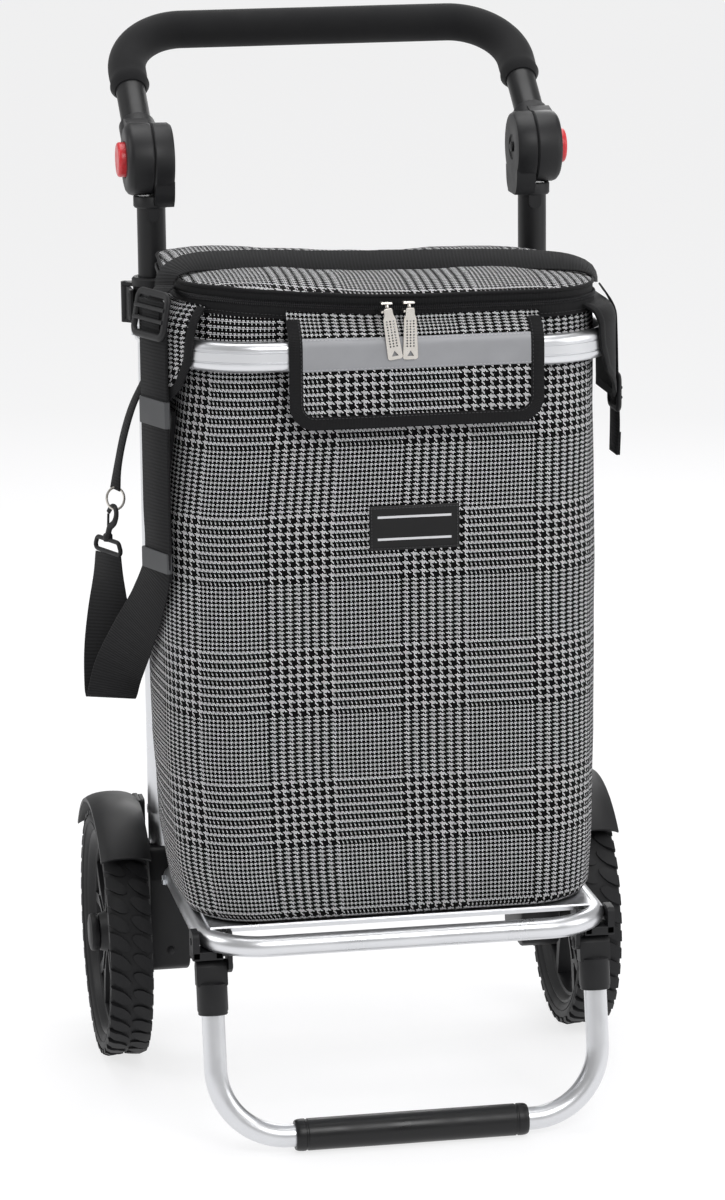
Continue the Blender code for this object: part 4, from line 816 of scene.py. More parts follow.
low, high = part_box("axle")
bm = bmesh.new()
turned(bm, [(0, low.x), (0.0044, low.x), (0.005, low.x + 0.0008), (0.005, high.x - 0.0008), (0.0044, high.x),
            (0, high.x)], (0, AXLE_Y, WHEEL_R), sides=40)
for side, sign in SIDES:
    turned(bm, [(0.0051, 0), (0.0088, 0), (0.0092, 0.0004), (0.0092, 0.0012), (0.0088, 0.0016), (0.0051, 0.0016),
                (0.0051, 0)], (sign * (BRACKET_INNER - 0.0018), AXLE_Y, WHEEL_R), (sign, 0, 0), 32)
finished("wheel_axle", bm, zinc, "frame", "axle")


# ---- stand clamps, sockets and sleeve ------------------------------------------------------------------
# Moulded clamps grip the platform bow's sides, and the stand's two sockets swing on them. A
# ribbed rubber sleeve covers the part of the stand that meets the ground.

for side, sign in SIDES:
    y, z = STAND_PIVOT.y, STAND_PIVOT.z
    bm = bmesh.new()
    clamp_outline = rounded([(-0.012, z + 0.0092, 0), (-0.012, PLATFORM_Z + 0.0096, 0), (0.012, PLATFORM_Z + 0.0096, 0),
                             (0.012, z + 0.0092, 0)], [0.002, 0.005, 0.005, 0.002], 0.001, closed=True)
    inner, outer = UPRIGHT_X - PLATFORM_R - 0.0045, UPRIGHT_X + PLATFORM_R + 0.0045
    for a, b in ((inner, UPRIGHT_X - PLATFORM_R + 0.002), (UPRIGHT_X + PLATFORM_R - 0.002, outer)):
        plate(bm, sign, a, b, clamp_outline, y)
    block(bm, (sign * inner, y - 0.012, z + 0.0092), (sign * outer, y + 0.012, PLATFORM_Z - PLATFORM_R + 0.0012), 0.001)
    lug_out, lug_in = STAND_X - 0.0154, STAND_X - 0.0194
    lug = rounded([(-0.012, z, 0), (-0.012, PLATFORM_Z + 0.0095, 0), (0.012, PLATFORM_Z + 0.0095, 0), (0.012, z, 0),
                   (0.0, z - 0.0085, 0)], [0.006, 0.002, 0.002, 0.006, 0.008], 0.001, closed=True)
    plate(bm, sign, lug_in, lug_out, lug, y)
    turned(bm, [(0, lug_in + 0.001), (0.003, lug_in + 0.001), (0.003, STAND_X + 0.0146), (0, STAND_X + 0.0146)][::sign],
           (0, y, z), (sign, 0, 0), 24)
    turned(bm, [(0.0062, -0.0006), (0.0058, 0.0008), (0.0034, 0.0016), (0.0030, 0.0010), (0, 0.0010)],
           (sign * lug_in, y, z), (-sign, 0, 0), 28)
    turned(bm, [(0.0036, -0.0004), (0.0034, 0.0010), (0.0018, 0.0015), (0, 0.0016)],
           (sign * outer, y, PLATFORM_Z - 0.001), (sign, 0, 0), 24)
    finished(f"bow_clamp_{side}", bm, moulded, "platform", f"stand_clamp_{side}")

    place = STAND_PIVOT + across * sign
    bm = bmesh.new()
    turned(bm, [(0.0108, 0.0195), (0.0130, 0.0150), (0.0148, 0.0165), (0.0148, 0.0415), (0.0140, 0.0435),
                (0.0142, 0.0450),
                (0.0134, 0.0460), (0.0113, 0.0460), (0.0110, 0.0440), (0.0108, 0.0195)], place, STAND_DOWN, 56)
    turned(bm, [(0, 0.0155), (0.0136, 0.0155), (0.0136, 0.0175), (0, 0.0175)], place, STAND_DOWN, 40)
    neck = rounded([(-0.0078, 0, 0), (-0.0078, -0.0185, 0), (0.0078, -0.0185, 0), (0.0078, 0, 0), (0.004, 0.0067, 0),
                    (-0.004, 0.0067, 0)], [0.002, 0, 0, 0.002, 0.004, 0.004], 0.001, closed=True)
    lean = Matrix.Rotation(-STAND_DOWN.angle(Vector((0, 0, -1))), 3, "X")
    neck = [lean @ Vector((0, p.x, p.y)) for p in neck]
    sweep(bm, [place + Vector((x, 0, 0)) for x in (-0.0148, -0.0138, 0.0138, 0.0148)], [(-p.y, p.z) for p in neck],
          up=(0, 0, 1), scales=[0.94, 1, 1, 0.94])
    finished(f"stand_joint_{side}", bm, moulded, "stand", f"stand_socket_{side}")

# Rubber sleeve: smooth moulded rubber with a soft gloss, polished where it rubs the ground.
sleeve_rubber = coated("sleeve_rubber", "sleeve", "0a0a0b", 0.34,
                       (1.4, 0.010, 0.26, 0.44), ("070708", "101012"), Specular_IOR_Level=0.4)
reach = 0.113
bm = bmesh.new()
ends = [(STAND_R + 0.0002, reach), (0.0138, reach), (0.0147, reach - 0.0012), (0.0152, reach - 0.0030),
        (0.0155, reach - 0.0065),
        (0.0154, reach - 0.0095), (0.0147, reach - 0.0102), (0.0147, reach - 0.0116), (0.0154, reach - 0.0123)]
profile = ends + [(0.0155, 0.0)] + [(r, -a) for r, a in ends[::-1]]
turned(bm, profile + profile[:1], STAND_FOOT, sides=56)
finished("ground_sleeve", bm, sleeve_rubber, "stand", "stand_sleeve")


# ---- bag -------------------------------------------------------------------------------------------
# A sewn shell of check polyester over a sheet of insulating foam, with a silver lining. Its floor
# is stiffened by a board, and it stands on the plate between the uprights and the upper bow.

BAG_BACK, BAG_FRONT, BAG_LOW, BAG_TOP, BAG_MID_Y = -0.038, -0.288, 0.2175, 0.800, -0.160
BAG_HALF, BAG_REAR = 0.2015, LUG_IN - 0.006
RING = 168          # points round the bag, about 7 mm apart
THREAD = 0.00103    # the check's threads are this far apart
DARK_SHARE = 0.62   # the dark threads are fuller than the light ones


def glen_check(name, slot, column_from, row_from, white="fafafc", black="030304"):
    """Glen check: blocks of four dark and four light threads beside blocks of two and two, in both
    directions, woven as a two-and-two twill, so that the colours break into hound's-tooth."""
    made, tree, shader = surface(name, slot, "77787c", 0.85, Specular_IOR_Level=0.12)
    cloth = add(tree, "ShaderNodeUVMap", uv_map="cloth").outputs["UV"]
    apart = add(tree, "ShaderNodeSeparateXYZ", {"Vector": cloth})
    index, shade, swell = [], [], []

    def sum_of(operation, first, second):
        return add(tree, "ShaderNodeMath", {0: first, 1: second}, operation=operation).outputs["Value"]

    for axis, start in (("X", column_from), ("Y", row_from)):
        place = sum_of("DIVIDE", sum_of("SUBTRACT", apart.outputs[axis], start), THREAD)
        thread = sum_of("FLOOR", place, 0.0)
        in_repeat = sum_of("FLOORED_MODULO", place, 124.0)
        bold = sum_of("LESS_THAN", in_repeat, 64.0)
        period = sum_of("MULTIPLY_ADD", bold, 4.0)
        period.node.inputs[2].default_value = 4.0
        phase = sum_of("FLOORED_MODULO", in_repeat, period)
        shade.append(sum_of("LESS_THAN", phase, sum_of("MULTIPLY", period, DARK_SHARE)))
        index.append(thread)
        swell.append(sum_of("SINE", sum_of("MULTIPLY", place, math.pi), 0.0))
    woven = sum_of("LESS_THAN", sum_of("FLOORED_MODULO", sum_of("ADD", index[0], index[1]), 4.0), 2.0)
    dark = add(tree, "ShaderNodeMix", {"Factor": woven, 2: shade[1], 3: shade[0]}).outputs[0]
    colour = add(tree, "ShaderNodeMix", {"Factor": dark, 6: linear(white), 7: linear(black)}, data_type="RGBA")
    relief = add(tree, "ShaderNodeMix", {"Factor": woven, 2: sum_of("ABSOLUTE", swell[1], 0.0),
                                         3: sum_of("ABSOLUTE", swell[0], 0.0)}).outputs[0]
    # The check's colour is multiplied down towards each thread's edges, where knot is small: painted shade in the gaps
    # between threads.
    knot = sum_of("ABSOLUTE", sum_of("MULTIPLY", swell[0], swell[1]), 0.0)
    thread_gap_painted_shade = add(tree, "ShaderNodeMapRange", {"Value": knot, "From Min": 0.18, "From Max": 0.72, "To Min": 0.01})
    check_with_gap_shade = add(tree, "ShaderNodeMix", {"Factor": 1.0, 6: colour.outputs[2], 7: thread_gap_painted_shade.outputs["Result"]},
               data_type="RGBA", blend_type="MULTIPLY")
    tree.links.new(check_with_gap_shade.outputs[2], shader.inputs["Base Color"])
    bump = add(tree, "ShaderNodeBump", {"Height": relief, "Distance": 0.00022, "Strength": 0.6})
    tree.links.new(bump.outputs["Normal"], shader.inputs["Normal"])
    return made


def bag_plan(half, rear, front, back, front_bend=0.065, rear_bend=0.030):
    """The bag's outline seen from above, as RING points from the middle of the back, left side first."""
    near = half - 0.008
    quarter = [(-rear, back, 0), (-half, BAG_MID_Y, 0), (-near, front, 0)]
    corners = quarter + [(-x, y, 0) for x, y, _ in reversed(quarter)]
    loop = rounded(corners, [rear_bend, 0.25, front_bend, front_bend, 0.25, rear_bend], 0.004, closed=True)
    loop = np.array([(p.x, p.y) for p in loop])
    loop = np.vstack([[(0, back)], loop, [(0, back)]])
    lengths = np.concatenate([[0], np.cumsum(np.linalg.norm(np.diff(loop, axis=0), axis=1))])
    even = np.linspace(0, lengths[-1], RING + 1)[:-1]
    return np.column_stack([np.interp(even, lengths, loop[:, 0]), np.interp(even, lengths, loop[:, 1])])


def bag_level(z):
    """How much wider the bag's middle and rear are at a height, how far its front and back are drawn
    in, and how far it leans to the left, by smooth steps between known levels."""
    known = [(BAG_LOW, -0.010, -0.010, 0.010, 0.004), (BAG_LOW + 0.004, -0.0045, -0.005, 0.0045, 0.004),
             (BAG_LOW + 0.012, 0, 0, 0.001, 0.004), (BAG_LOW + 0.05, 0.0045, 0.004, -0.001, 0.006),
             (BAG_LOW + 0.16, 0.0098, 0.007, -0.0022, 0.0085), (BAG_LOW + 0.38, 0.0098, 0.007, -0.0022, 0.0085),
             (HOOP_Z - 0.055, 0.002, 0.001, -0.0008, 0.002), (HOOP_Z - 0.022, 0, 0, 0, 0),
             (HOOP_Z + 0.022, 0, 0, 0, 0), (BAG_TOP, -0.001, 0, 0.002, 0)]
    heights = [k[0] for k in known]
    return [float(np.interp(z, heights, [k[c] for k in known])) for c in (1, 2, 3, 4)]


def ring_at(z):
    wide, rear, inset, lean = bag_level(z)
    plan = bag_plan(BAG_HALF + wide, BAG_REAR + rear, BAG_FRONT + inset, BAG_BACK - inset,
                    0.065 - inset / 2, 0.030 - inset / 2)
    return plan - (lean, 0)


def rise(x):
    """The bag's top and its lid are drawn up at the left, where the strap pulls them."""
    return float(np.interp(x, [-0.21, -0.165, -0.13, -0.09, -0.03, 0.02],
                           [0.0140, 0.0135, 0.0100, 0.0060, 0.0015, 0.0]))


check_fabric = glen_check("glen_check_polyester", "check_fabric", -0.130, 0.292 - 0.1277)
# Foil-faced foam: the lining is a bright but crumpled film.
lining, tree, shader = surface("foil_lining", "check_fabric", "b9bcc0", 0.42, Metallic=0.7)
grain(tree, shader, 9.0, 0.25, 0.34, 0.5)

heights = [BAG_LOW, BAG_LOW + 0.0015, BAG_LOW + 0.004, BAG_LOW + 0.0075, BAG_LOW + 0.012]
heights += list(np.arange(BAG_LOW + 0.020, BAG_TOP - 0.002, 0.007)) + [BAG_TOP]
rings = np.array([[(x, y, z) for x, y in ring_at(z)] for z in heights])
reference = ring_at(0.5)
steps = np.linalg.norm(np.diff(np.vstack([reference, reference[:1]]), axis=0), axis=1)
along = np.concatenate([[0], np.cumsum(steps)])
front_index = int(np.argmin(np.hypot(reference[:, 0], reference[:, 1] - BAG_FRONT)))
along = along - along[front_index] + reference[front_index, 0]

# Foam-backed cloth never lies quite flat: long soft swells, and short puckers where the bow grips
# it and where it turns under the floor.
outward = np.roll(rings, -1, 1) - np.roll(rings, 1, 1)
outward = np.stack([outward[..., 1], -outward[..., 0], np.zeros(outward.shape[:2])], -1)
outward /= np.linalg.norm(outward, axis=2, keepdims=True)
if np.mean(np.sum(outward[:, front_index], 0)[1]) > 0:
    outward = -outward
for row, z in enumerate(heights):
    near_bow = math.exp(-((z - (HOOP_Z - 0.045)) / 0.030) ** 2)
    near_floor = math.exp(-((z - (BAG_LOW + 0.030)) / 0.022) ** 2)
    free = min(1.0, max(0.0, (z - BAG_LOW - 0.01) / 0.05)) * min(1.0, max(0.0, (HOOP_Z - 0.016 - z) / 0.04))
    rim = 1.0 if z > HOOP_Z + 0.018 and z < BAG_TOP - 0.004 else 0.0
    for column in range(RING):
        s = along[column]
        swell = (0.0022 * noise.noise(Vector((s * 9, z * 5.5, 4.2)))
                 + 0.0011 * noise.noise(Vector((s * 24, z * 13, 9.0))))
        pucker = 0.0016 * near_bow * noise.noise(Vector((s * 42, z * 9, 1.7)))
        pucker += 0.0011 * near_floor * noise.noise(Vector((s * 55, z * 12, 6.1)))
        lean = 0.0008 * rim * noise.noise(Vector((s * 50, z * 30, 2.2)))
        rings[row, column] += outward[row, column] * (free * (swell + pucker) + lean)
# A seam runs down each front corner, as a narrow valley.
for at in (-0.2095, 0.2095):
    seam = int(np.argmin(np.abs(along - at)))
    rings[5:-1, seam] -= outward[5:-1, seam] * 0.0011

for row, z in enumerate(heights):
    for column in range(RING):
        rings[row, column, 2] += rise(rings[row, column, 0]) * max(0.0, z - HOOP_Z - 0.02) / (BAG_TOP - HOOP_Z - 0.02)

bm = bmesh.new()
uv = bm.loops.layers.uv.new("cloth")
rows = [[bm.verts.new(point) for point in ring] for ring in rings]
for r in range(len(rows) - 1):
    for c in range(RING):
        k = (c + 1) % RING
        face = bm.faces.new((rows[r][c], rows[r][k], rows[r + 1][k], rows[r + 1][c]))
        end = along[c + 1]
        for loop, (u, v) in zip(face.loops, ((along[c], heights[r]), (end, heights[r]), (end, heights[r + 1]),
                                             (along[c], heights[r + 1]))):
            loop[uv].uv = (u, v)
bm.faces.new(rows[0][::-1])
bmesh.ops.recalc_face_normals(bm, faces=bm.faces)
# The lining runs from the rim down inside the foam to the board.
FOAM, LINING_FLOOR = 0.0052, 2
inset_rows = []
for r in (len(rows) - 1, len(rows) - 9, len(rows) // 2, 6, LINING_FLOOR):
    ring = [Vector(rings[r][c]) - Vector(outward[r][c]) * FOAM for c in range(RING)]
    if r == LINING_FLOOR:
        ring = [Vector((p.x, p.y, BAG_LOW + 0.006)) for p in ring]
    inset_rows.append([bm.verts.new(p) for p in ring])
inner_faces = []
for upper, lower in zip([rows[-1]] + inset_rows, inset_rows):
    for c in range(RING):
        k = (c + 1) % RING
        inner_faces.append(bm.faces.new((upper[c], upper[k], lower[k], lower[c])))
inner_faces.append(bm.faces.new(inset_rows[-1]))
bmesh.ops.recalc_face_normals(bm, faces=bm.faces)
for face in inner_faces[RING:]:
    face.material_index = 1


def soft(piece):
    """A soft piece of the bag, given a mesh of its own."""
    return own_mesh(piece)


shell = finished("bag_body", bm, check_fabric, "bag", "bag_shell", smooth=80, more=(lining,))
soft(shell)

# Black fibreboard with a leather-like emboss stiffens the floor.
fibreboard, tree, shader = surface("black_fibreboard", "board", "2a2b2d", 0.7)
grain(tree, shader, 2.5, 0.05, 0.6, 0.78)
low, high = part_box("bag_base_board")
bm = bmesh.new()
plan = bag_plan(BAG_HALF - 0.020, BAG_REAR - 0.020, BAG_FRONT + 0.020, BAG_BACK - 0.020, 0.055, 0.020)
levels = [(low.z, 0.994), (low.z + 0.0008, 1.0), (high.z - 0.0008, 1.0), (high.z, 0.994)]
sweep(bm, [(0, -0.163, z) for z, _ in levels], [(x, -(y + 0.163)) for x, y in plan], up=(0, -1, 0),
      scales=[s for _, s in levels])
soft(finished("floor_board", bm, fibreboard, "bag", "bag_base_board"))


# ---- webbing and binding --------------------------------------------------------------------------
# Black polyester tapes: ribbed webbing for the straps, a finer woven tape folded over raw edges, and
# short lockstitches that hold them.

def woven_tape(name, rib_mm, colour, valley_shade):
    """Ribs run across a tape's length; fine warp threads run along it."""
    made, tree, shader = surface(name, "webbing", colour, 0.72, Specular_IOR_Level=0.22, Sheen_Weight=0.03,
                                 Sheen_Roughness=0.4)
    cloth = add(tree, "ShaderNodeUVMap", uv_map="cloth").outputs["UV"]
    apart = add(tree, "ShaderNodeSeparateXYZ", {"Vector": cloth})
    ribs = add(tree, "ShaderNodeMath", {0: apart.outputs["Y"], 1: math.tau * 1000 / rib_mm}, operation="MULTIPLY")
    wave = add(tree, "ShaderNodeMath", {0: ribs.outputs[0]}, operation="SINE")
    warp = add(tree, "ShaderNodeMath", {0: apart.outputs["X"], 1: math.tau * 1000 / 1.3}, operation="MULTIPLY")
    fine = add(tree, "ShaderNodeMath", {0: warp.outputs[0]}, operation="SINE")
    both = add(tree, "ShaderNodeMath", {0: fine.outputs[0], 1: 0.35, 2: wave.outputs[0]}, operation="MULTIPLY_ADD")
    height = add(tree, "ShaderNodeMapRange", {"Value": both.outputs[0], "From Min": -1.35, "From Max": 1.35})
    relief = add(tree, "ShaderNodeBump", {"Height": height.outputs["Result"], "Distance": 0.0004, "Strength": 0.9})
    tree.links.new(relief.outputs["Normal"], shader.inputs["Normal"])
    # The colour falls to the darker valley shade where the ribs are low: painted shade between the ribs.
    mix = add(tree, "ShaderNodeMix", {"Factor": height.outputs["Result"], 6: linear(valley_shade), 7: linear(colour)},
              data_type="RGBA")
    tree.links.new(mix.outputs[2], shader.inputs["Base Color"])
    return made


webbing = woven_tape("ribbed_polyester_webbing", 3.3, "18181a", "060607")
binding = woven_tape("folded_binding_tape", 1.4, "101012", "060607")
thread, tree, shader = surface("sewing_thread", "webbing", "2f2f31", 0.6)
pale_thread, tree, shader = surface("grey_sewing_thread", "check_fabric", "a9aaae", 0.6)
for tree in (thread.node_tree, pale_thread.node_tree):
    twist = add(tree, "ShaderNodeTexNoise", {"Vector": add(tree, "ShaderNodeTexCoord").outputs["Object"],
                                            "Scale": 2500.0})
    relief = add(tree, "ShaderNodeBump", {"Height": twist.outputs["Fac"], "Distance": 0.00008, "Strength": 0.8})
    tree.links.new(relief.outputs["Normal"], tree.nodes["Principled BSDF"].inputs["Normal"])


def flat_outline(wide, thick, edge=0.4):
    """A tape's cross-section: across its width, then its thickness, with softened edges."""
    half, low, soft_edge = wide / 2, thick / 2, thick * edge
    return [(-half, -low + soft_edge), (-half + soft_edge, -low), (half - soft_edge, -low), (half, -low + soft_edge),
            (half, low - soft_edge), (half - soft_edge, low), (-half + soft_edge, low), (-half, low - soft_edge)]


def stitch_unit(long=0.0024, thick=0.0006):
    """One lockstitch: a short thread, pulled down at both ends."""
    unit = bmesh.new()
    rows = []
    for x, z, r in ((-0.5, -0.35, 0.35), (-0.36, 0.25, 0.9), (0.0, 0.45, 1.0), (0.36, 0.25, 0.9), (0.5, -0.35, 0.35)):
        rows.append([unit.verts.new((x * long, r * thick * 0.5 * math.cos(t),
                                     z * thick + r * thick * 0.5 * math.sin(t)))
                     for t in (math.tau * k / 5 for k in range(5))])
    for first, second in zip(rows, rows[1:]):
        for k in range(5):
            unit.faces.new((first[k], first[(k + 1) % 5], second[(k + 1) % 5], second[k]))
    unit.faces.new(rows[0][::-1])
    unit.faces.new(rows[-1])
    bmesh.ops.recalc_face_normals(unit, faces=unit.faces)
    return unit


def stitches(name, runs, finish, body, pitch=0.0036):
    """Rows of stitches along (path, outs) runs, as one piece."""
    bm, unit = bmesh.new(), stitch_unit()
    for path, outs in runs:
        set_along(bm, unit, pitch, path, outs, finish)
    unit.free()
    return soft(finished(name, bm, finish, body))


def smooth_path(points, step=0.004):
    """Points every few millimetres on a smooth curve through the given ones, each of any length."""
    points = np.array(points, float)
    ends = np.vstack([2 * points[0] - points[1], points, 2 * points[-1] - points[-2]])
    made = []
    for i in range(1, len(ends) - 2):
        a, b, c, d = ends[i - 1:i + 3]
        count = max(2, int(np.linalg.norm((c - b)[:3]) / step))
        for t in np.arange(count) / count:
            made.append(0.5 * (2 * b + (c - a) * t + (2 * a - 5 * b + 4 * c - d) * t ** 2
                               + (3 * b - a - 3 * c + d) * t ** 3))
    return np.array([*made, points[-1]])


def strap_run(bm, stations, wide, thick, step=0.004, caps=True):
    """Webbing through (x, y, z, facing x, y, z) stations; it faces the way each one gives."""
    path = smooth_path(stations, step)
    return sweep(bm, [p[:3] for p in path], flat_outline(wide, thick), up=[Vector(p[3:6]).normalized() for p in path],
                 caps=caps)


# ---- lid ---------------------------------------------------------------------------------------------
# A soft padded panel of the same check, piped round its edge. A reversed-coil zip joins it to the bag
# on three sides; its back edge is sewn on and acts as the hinge.

LID_LOW, LID_SIDE, LID_PEAK = 0.8035, 0.0115, 0.0145
LID_COLUMNS_FROM, LID_ROWS_FROM = -0.118, -0.262
rim = ring_at(BAG_TOP)
rim_out = np.array([outward[-2][c] for c in range(RING)])
centre = np.array([0.0, BAG_MID_Y])


def lid_height(x, y, share):
    """The lid is crowned, low in front, sagging between its corners, with soft dents and creases."""
    crown = (1 - share ** 2.4) ** 0.8
    dent = 0.0035 * math.exp(-((x + 0.02) / 0.11) ** 2 - ((y + 0.175) / 0.05) ** 2)
    back = 0.0030 * math.exp(-((y + 0.075) / 0.035) ** 2)
    crease = 0.0016 * noise.noise(Vector((x * 26, y * 30, 3.3))) + 0.0009 * noise.noise(Vector((x * 60, y * 44, 8.1)))
    return rise(x) + LID_LOW + LID_SIDE + (LID_PEAK + back - dent + crease) * crown


bm = bmesh.new()
uv = bm.loops.layers.uv.new("cloth")
shares = [1.0, 0.992, 0.975, 0.95, 0.91, 0.86, 0.80, 0.73, 0.65, 0.56, 0.46, 0.36, 0.26, 0.16, 0.07]
levels = [(1.0, LID_LOW), (1.0, LID_LOW + LID_SIDE - 0.003)]
rows = []
for share, z in levels:
    rows.append([bm.verts.new((x, y, z + rise(x))) for x, y in rim])
for share in shares:
    flat = centre + (rim - centre) * (share if share < 1 else 0.9985)
    rows.append([bm.verts.new((x, y, lid_height(x, y, share))) for x, y in flat])
for first, second in zip(rows, rows[1:]):
    for c in range(RING):
        k = (c + 1) % RING
        bm.faces.new((first[c], first[k], second[k], second[c]))
hub = bm.verts.new((*centre, lid_height(*centre, 0.0)))
for c in range(RING):
    bm.faces.new((rows[-1][c], rows[-1][(c + 1) % RING], hub))
bm.faces.new(rows[0][::-1])
bmesh.ops.recalc_face_normals(bm, faces=bm.faces)
for face in bm.faces:
    low_face = len(face.verts) > 4
    face.material_index = 1 if low_face else 0
    for loop in face.loops:
        x, y, z = loop.vert.co
        loop[uv].uv = (x - LID_COLUMNS_FROM - 0.130, y - (z - LID_LOW) * 0.6 - LID_ROWS_FROM)
soft(finished("padded_lid", bm, check_fabric, "lid", "lid", smooth=80, more=(lining,)))

# The zip's path leaves out the back, where the lid is sewn to the bag.
first_tooth, last_tooth = 14, RING - 14
zip_plan = [(*rim[c], rise(rim[c][0])) for c in range(first_tooth, last_tooth)]
zip_out = [Vector((*rim_out[c][:2], 0.0)) for c in range(first_tooth, last_tooth)]


def round_the_bag(name, body, z, out, wide, thick, finish, edge=0.4):
    """A tape or cord round the rim at a height: its width upright, its thickness outward."""
    path = [Vector(p) + o * (out + 0.0006 * noise.noise(Vector((p[0] * 30, p[1] * 30, z * 90)))) + Vector((0, 0, z))
            for p, o in zip(zip_plan, zip_out)]
    shape = [(v, u) for u, v in flat_outline(wide, thick, edge)]
    band = bmesh.new()
    sweep(band, path, shape, up=(0, 0, 1))
    return soft(finished(name, band, finish, body, smooth=60))


round_the_bag("zip_tape_lower", "bag", BAG_TOP - 0.0035, 0.0012, 0.0125, 0.0014, binding)
round_the_bag("zip_tape_upper", "lid", LID_LOW + 0.0048, 0.0006, 0.0092, 0.0012, binding)
round_the_bag("lid_piping", "lid", LID_LOW + LID_SIDE - 0.0012, 0.0012, 0.0036, 0.0034, binding, 0.38)
round_the_bag("tape_fold", "bag", BAG_TOP - 0.0098, 0.0018, 0.0022, 0.0014, binding)

# Behind the zip's ends a tape sews the lid on.
hinge_path = [(*rim[c % RING], (BAG_TOP + LID_LOW) / 2 + rise(rim[c % RING][0]))
              for c in range(last_tooth - 1, RING + first_tooth + 1)]
ups = np.linspace(-0.006, 0.006, 9)
bm = bmesh.new()
sweep(bm, [Vector(p) + Vector((0, 0.0008, 0)) for p in hinge_path],
      [(-0.0006, u) for u in ups] + [(0.0006, u) for u in ups[::-1]], up=(0, 0, 1))
hinge_tape = finished("lid_hinge_tape", bm, binding, None, smooth=60)
seam = Vector((0.0, BAG_BACK + PLANE, BAG_TOP))
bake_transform(hinge_tape)

# Polyester coil: smooth, black, each turn about 1.8 mm from the next; drawn as single loops.
coil_yarn, tree, shader = surface("polyester_coil", "zip_metal", "1b1b1d", 0.4)
grain(tree, shader, 0.8, 0.01, 0.34, 0.46)
for name, body, z, way in (("zip_coil_lower", "bag", LID_LOW - 0.0014, 1),
                           ("zip_coil_upper", "lid", LID_LOW + 0.0006, -1)):
    unit = bmesh.new()
    loop = [(0.0, -0.0012, 0.0), (0.0002, -0.0006, 0.0009), (0.0004, 0.0006, 0.0010), (0.0004, 0.0012, 0.0002),
            (0.0004, 0.0006, -0.0006), (0.0002, -0.0006, -0.0006)]
    sweep(unit, loop, round_outline(0.00042, 5), up=None, closed=True)
    bm = bmesh.new()
    path = [Vector(p) + o * 0.0022 + Vector((0, 0, z)) for p, o in zip(zip_plan, zip_out)]
    set_along(bm, unit, 0.0018, path, zip_out, coil_yarn)
    unit.free()
    soft(finished(name, bm, coil_yarn, body))

seam_path = [Vector(p) + o * 0.0022 + Vector((0, 0, BAG_TOP - 0.0074)) for p, o in zip(zip_plan, zip_out)]
stitches("zip_stitches", [(seam_path, zip_out)], thread, "bag")


# ---- zip sliders and pulls ------------------------------------------------------------------------------
# Two nickel-plated zinc sliders meet in the middle of the front. Each has a punched pull that hangs
# from its bridge.

# Nickel plate over zinc casting: bright and warm, softly polished, with small casting ripples.
nickel = coated("nickel_plated_zinc", "zip_metal", "dad6cf", 0.2,
                (1.6, 0.006, 0.16, 0.28, 6), ("cbc6be", "e4e0da"), Metallic=1.0)
PULL_LONG, PULL_HALF, PULL_THICK = 0.048, 0.0072, 0.0014


def cut_from(bm, cutter):
    """The first mesh with the second one's volume taken out of it."""
    holders = []
    for made in (bm, cutter):
        data = bpy.data.meshes.new("cut")
        made.to_mesh(data)
        made.free()
        holders.append(bpy.data.objects.new("cut", data))
        bpy.context.scene.collection.objects.link(holders[-1])
    step = holders[0].modifiers.new("cut", "BOOLEAN")
    step.object, step.operation, step.solver = holders[1], "DIFFERENCE", "EXACT"
    result = bpy.data.meshes.new_from_object(holders[0].evaluated_get(bpy.context.evaluated_depsgraph_get()))
    left = bmesh.new()
    left.from_mesh(result)
    bpy.data.meshes.remove(result)
    for holder in holders:
        bpy.data.objects.remove(holder)
    return left


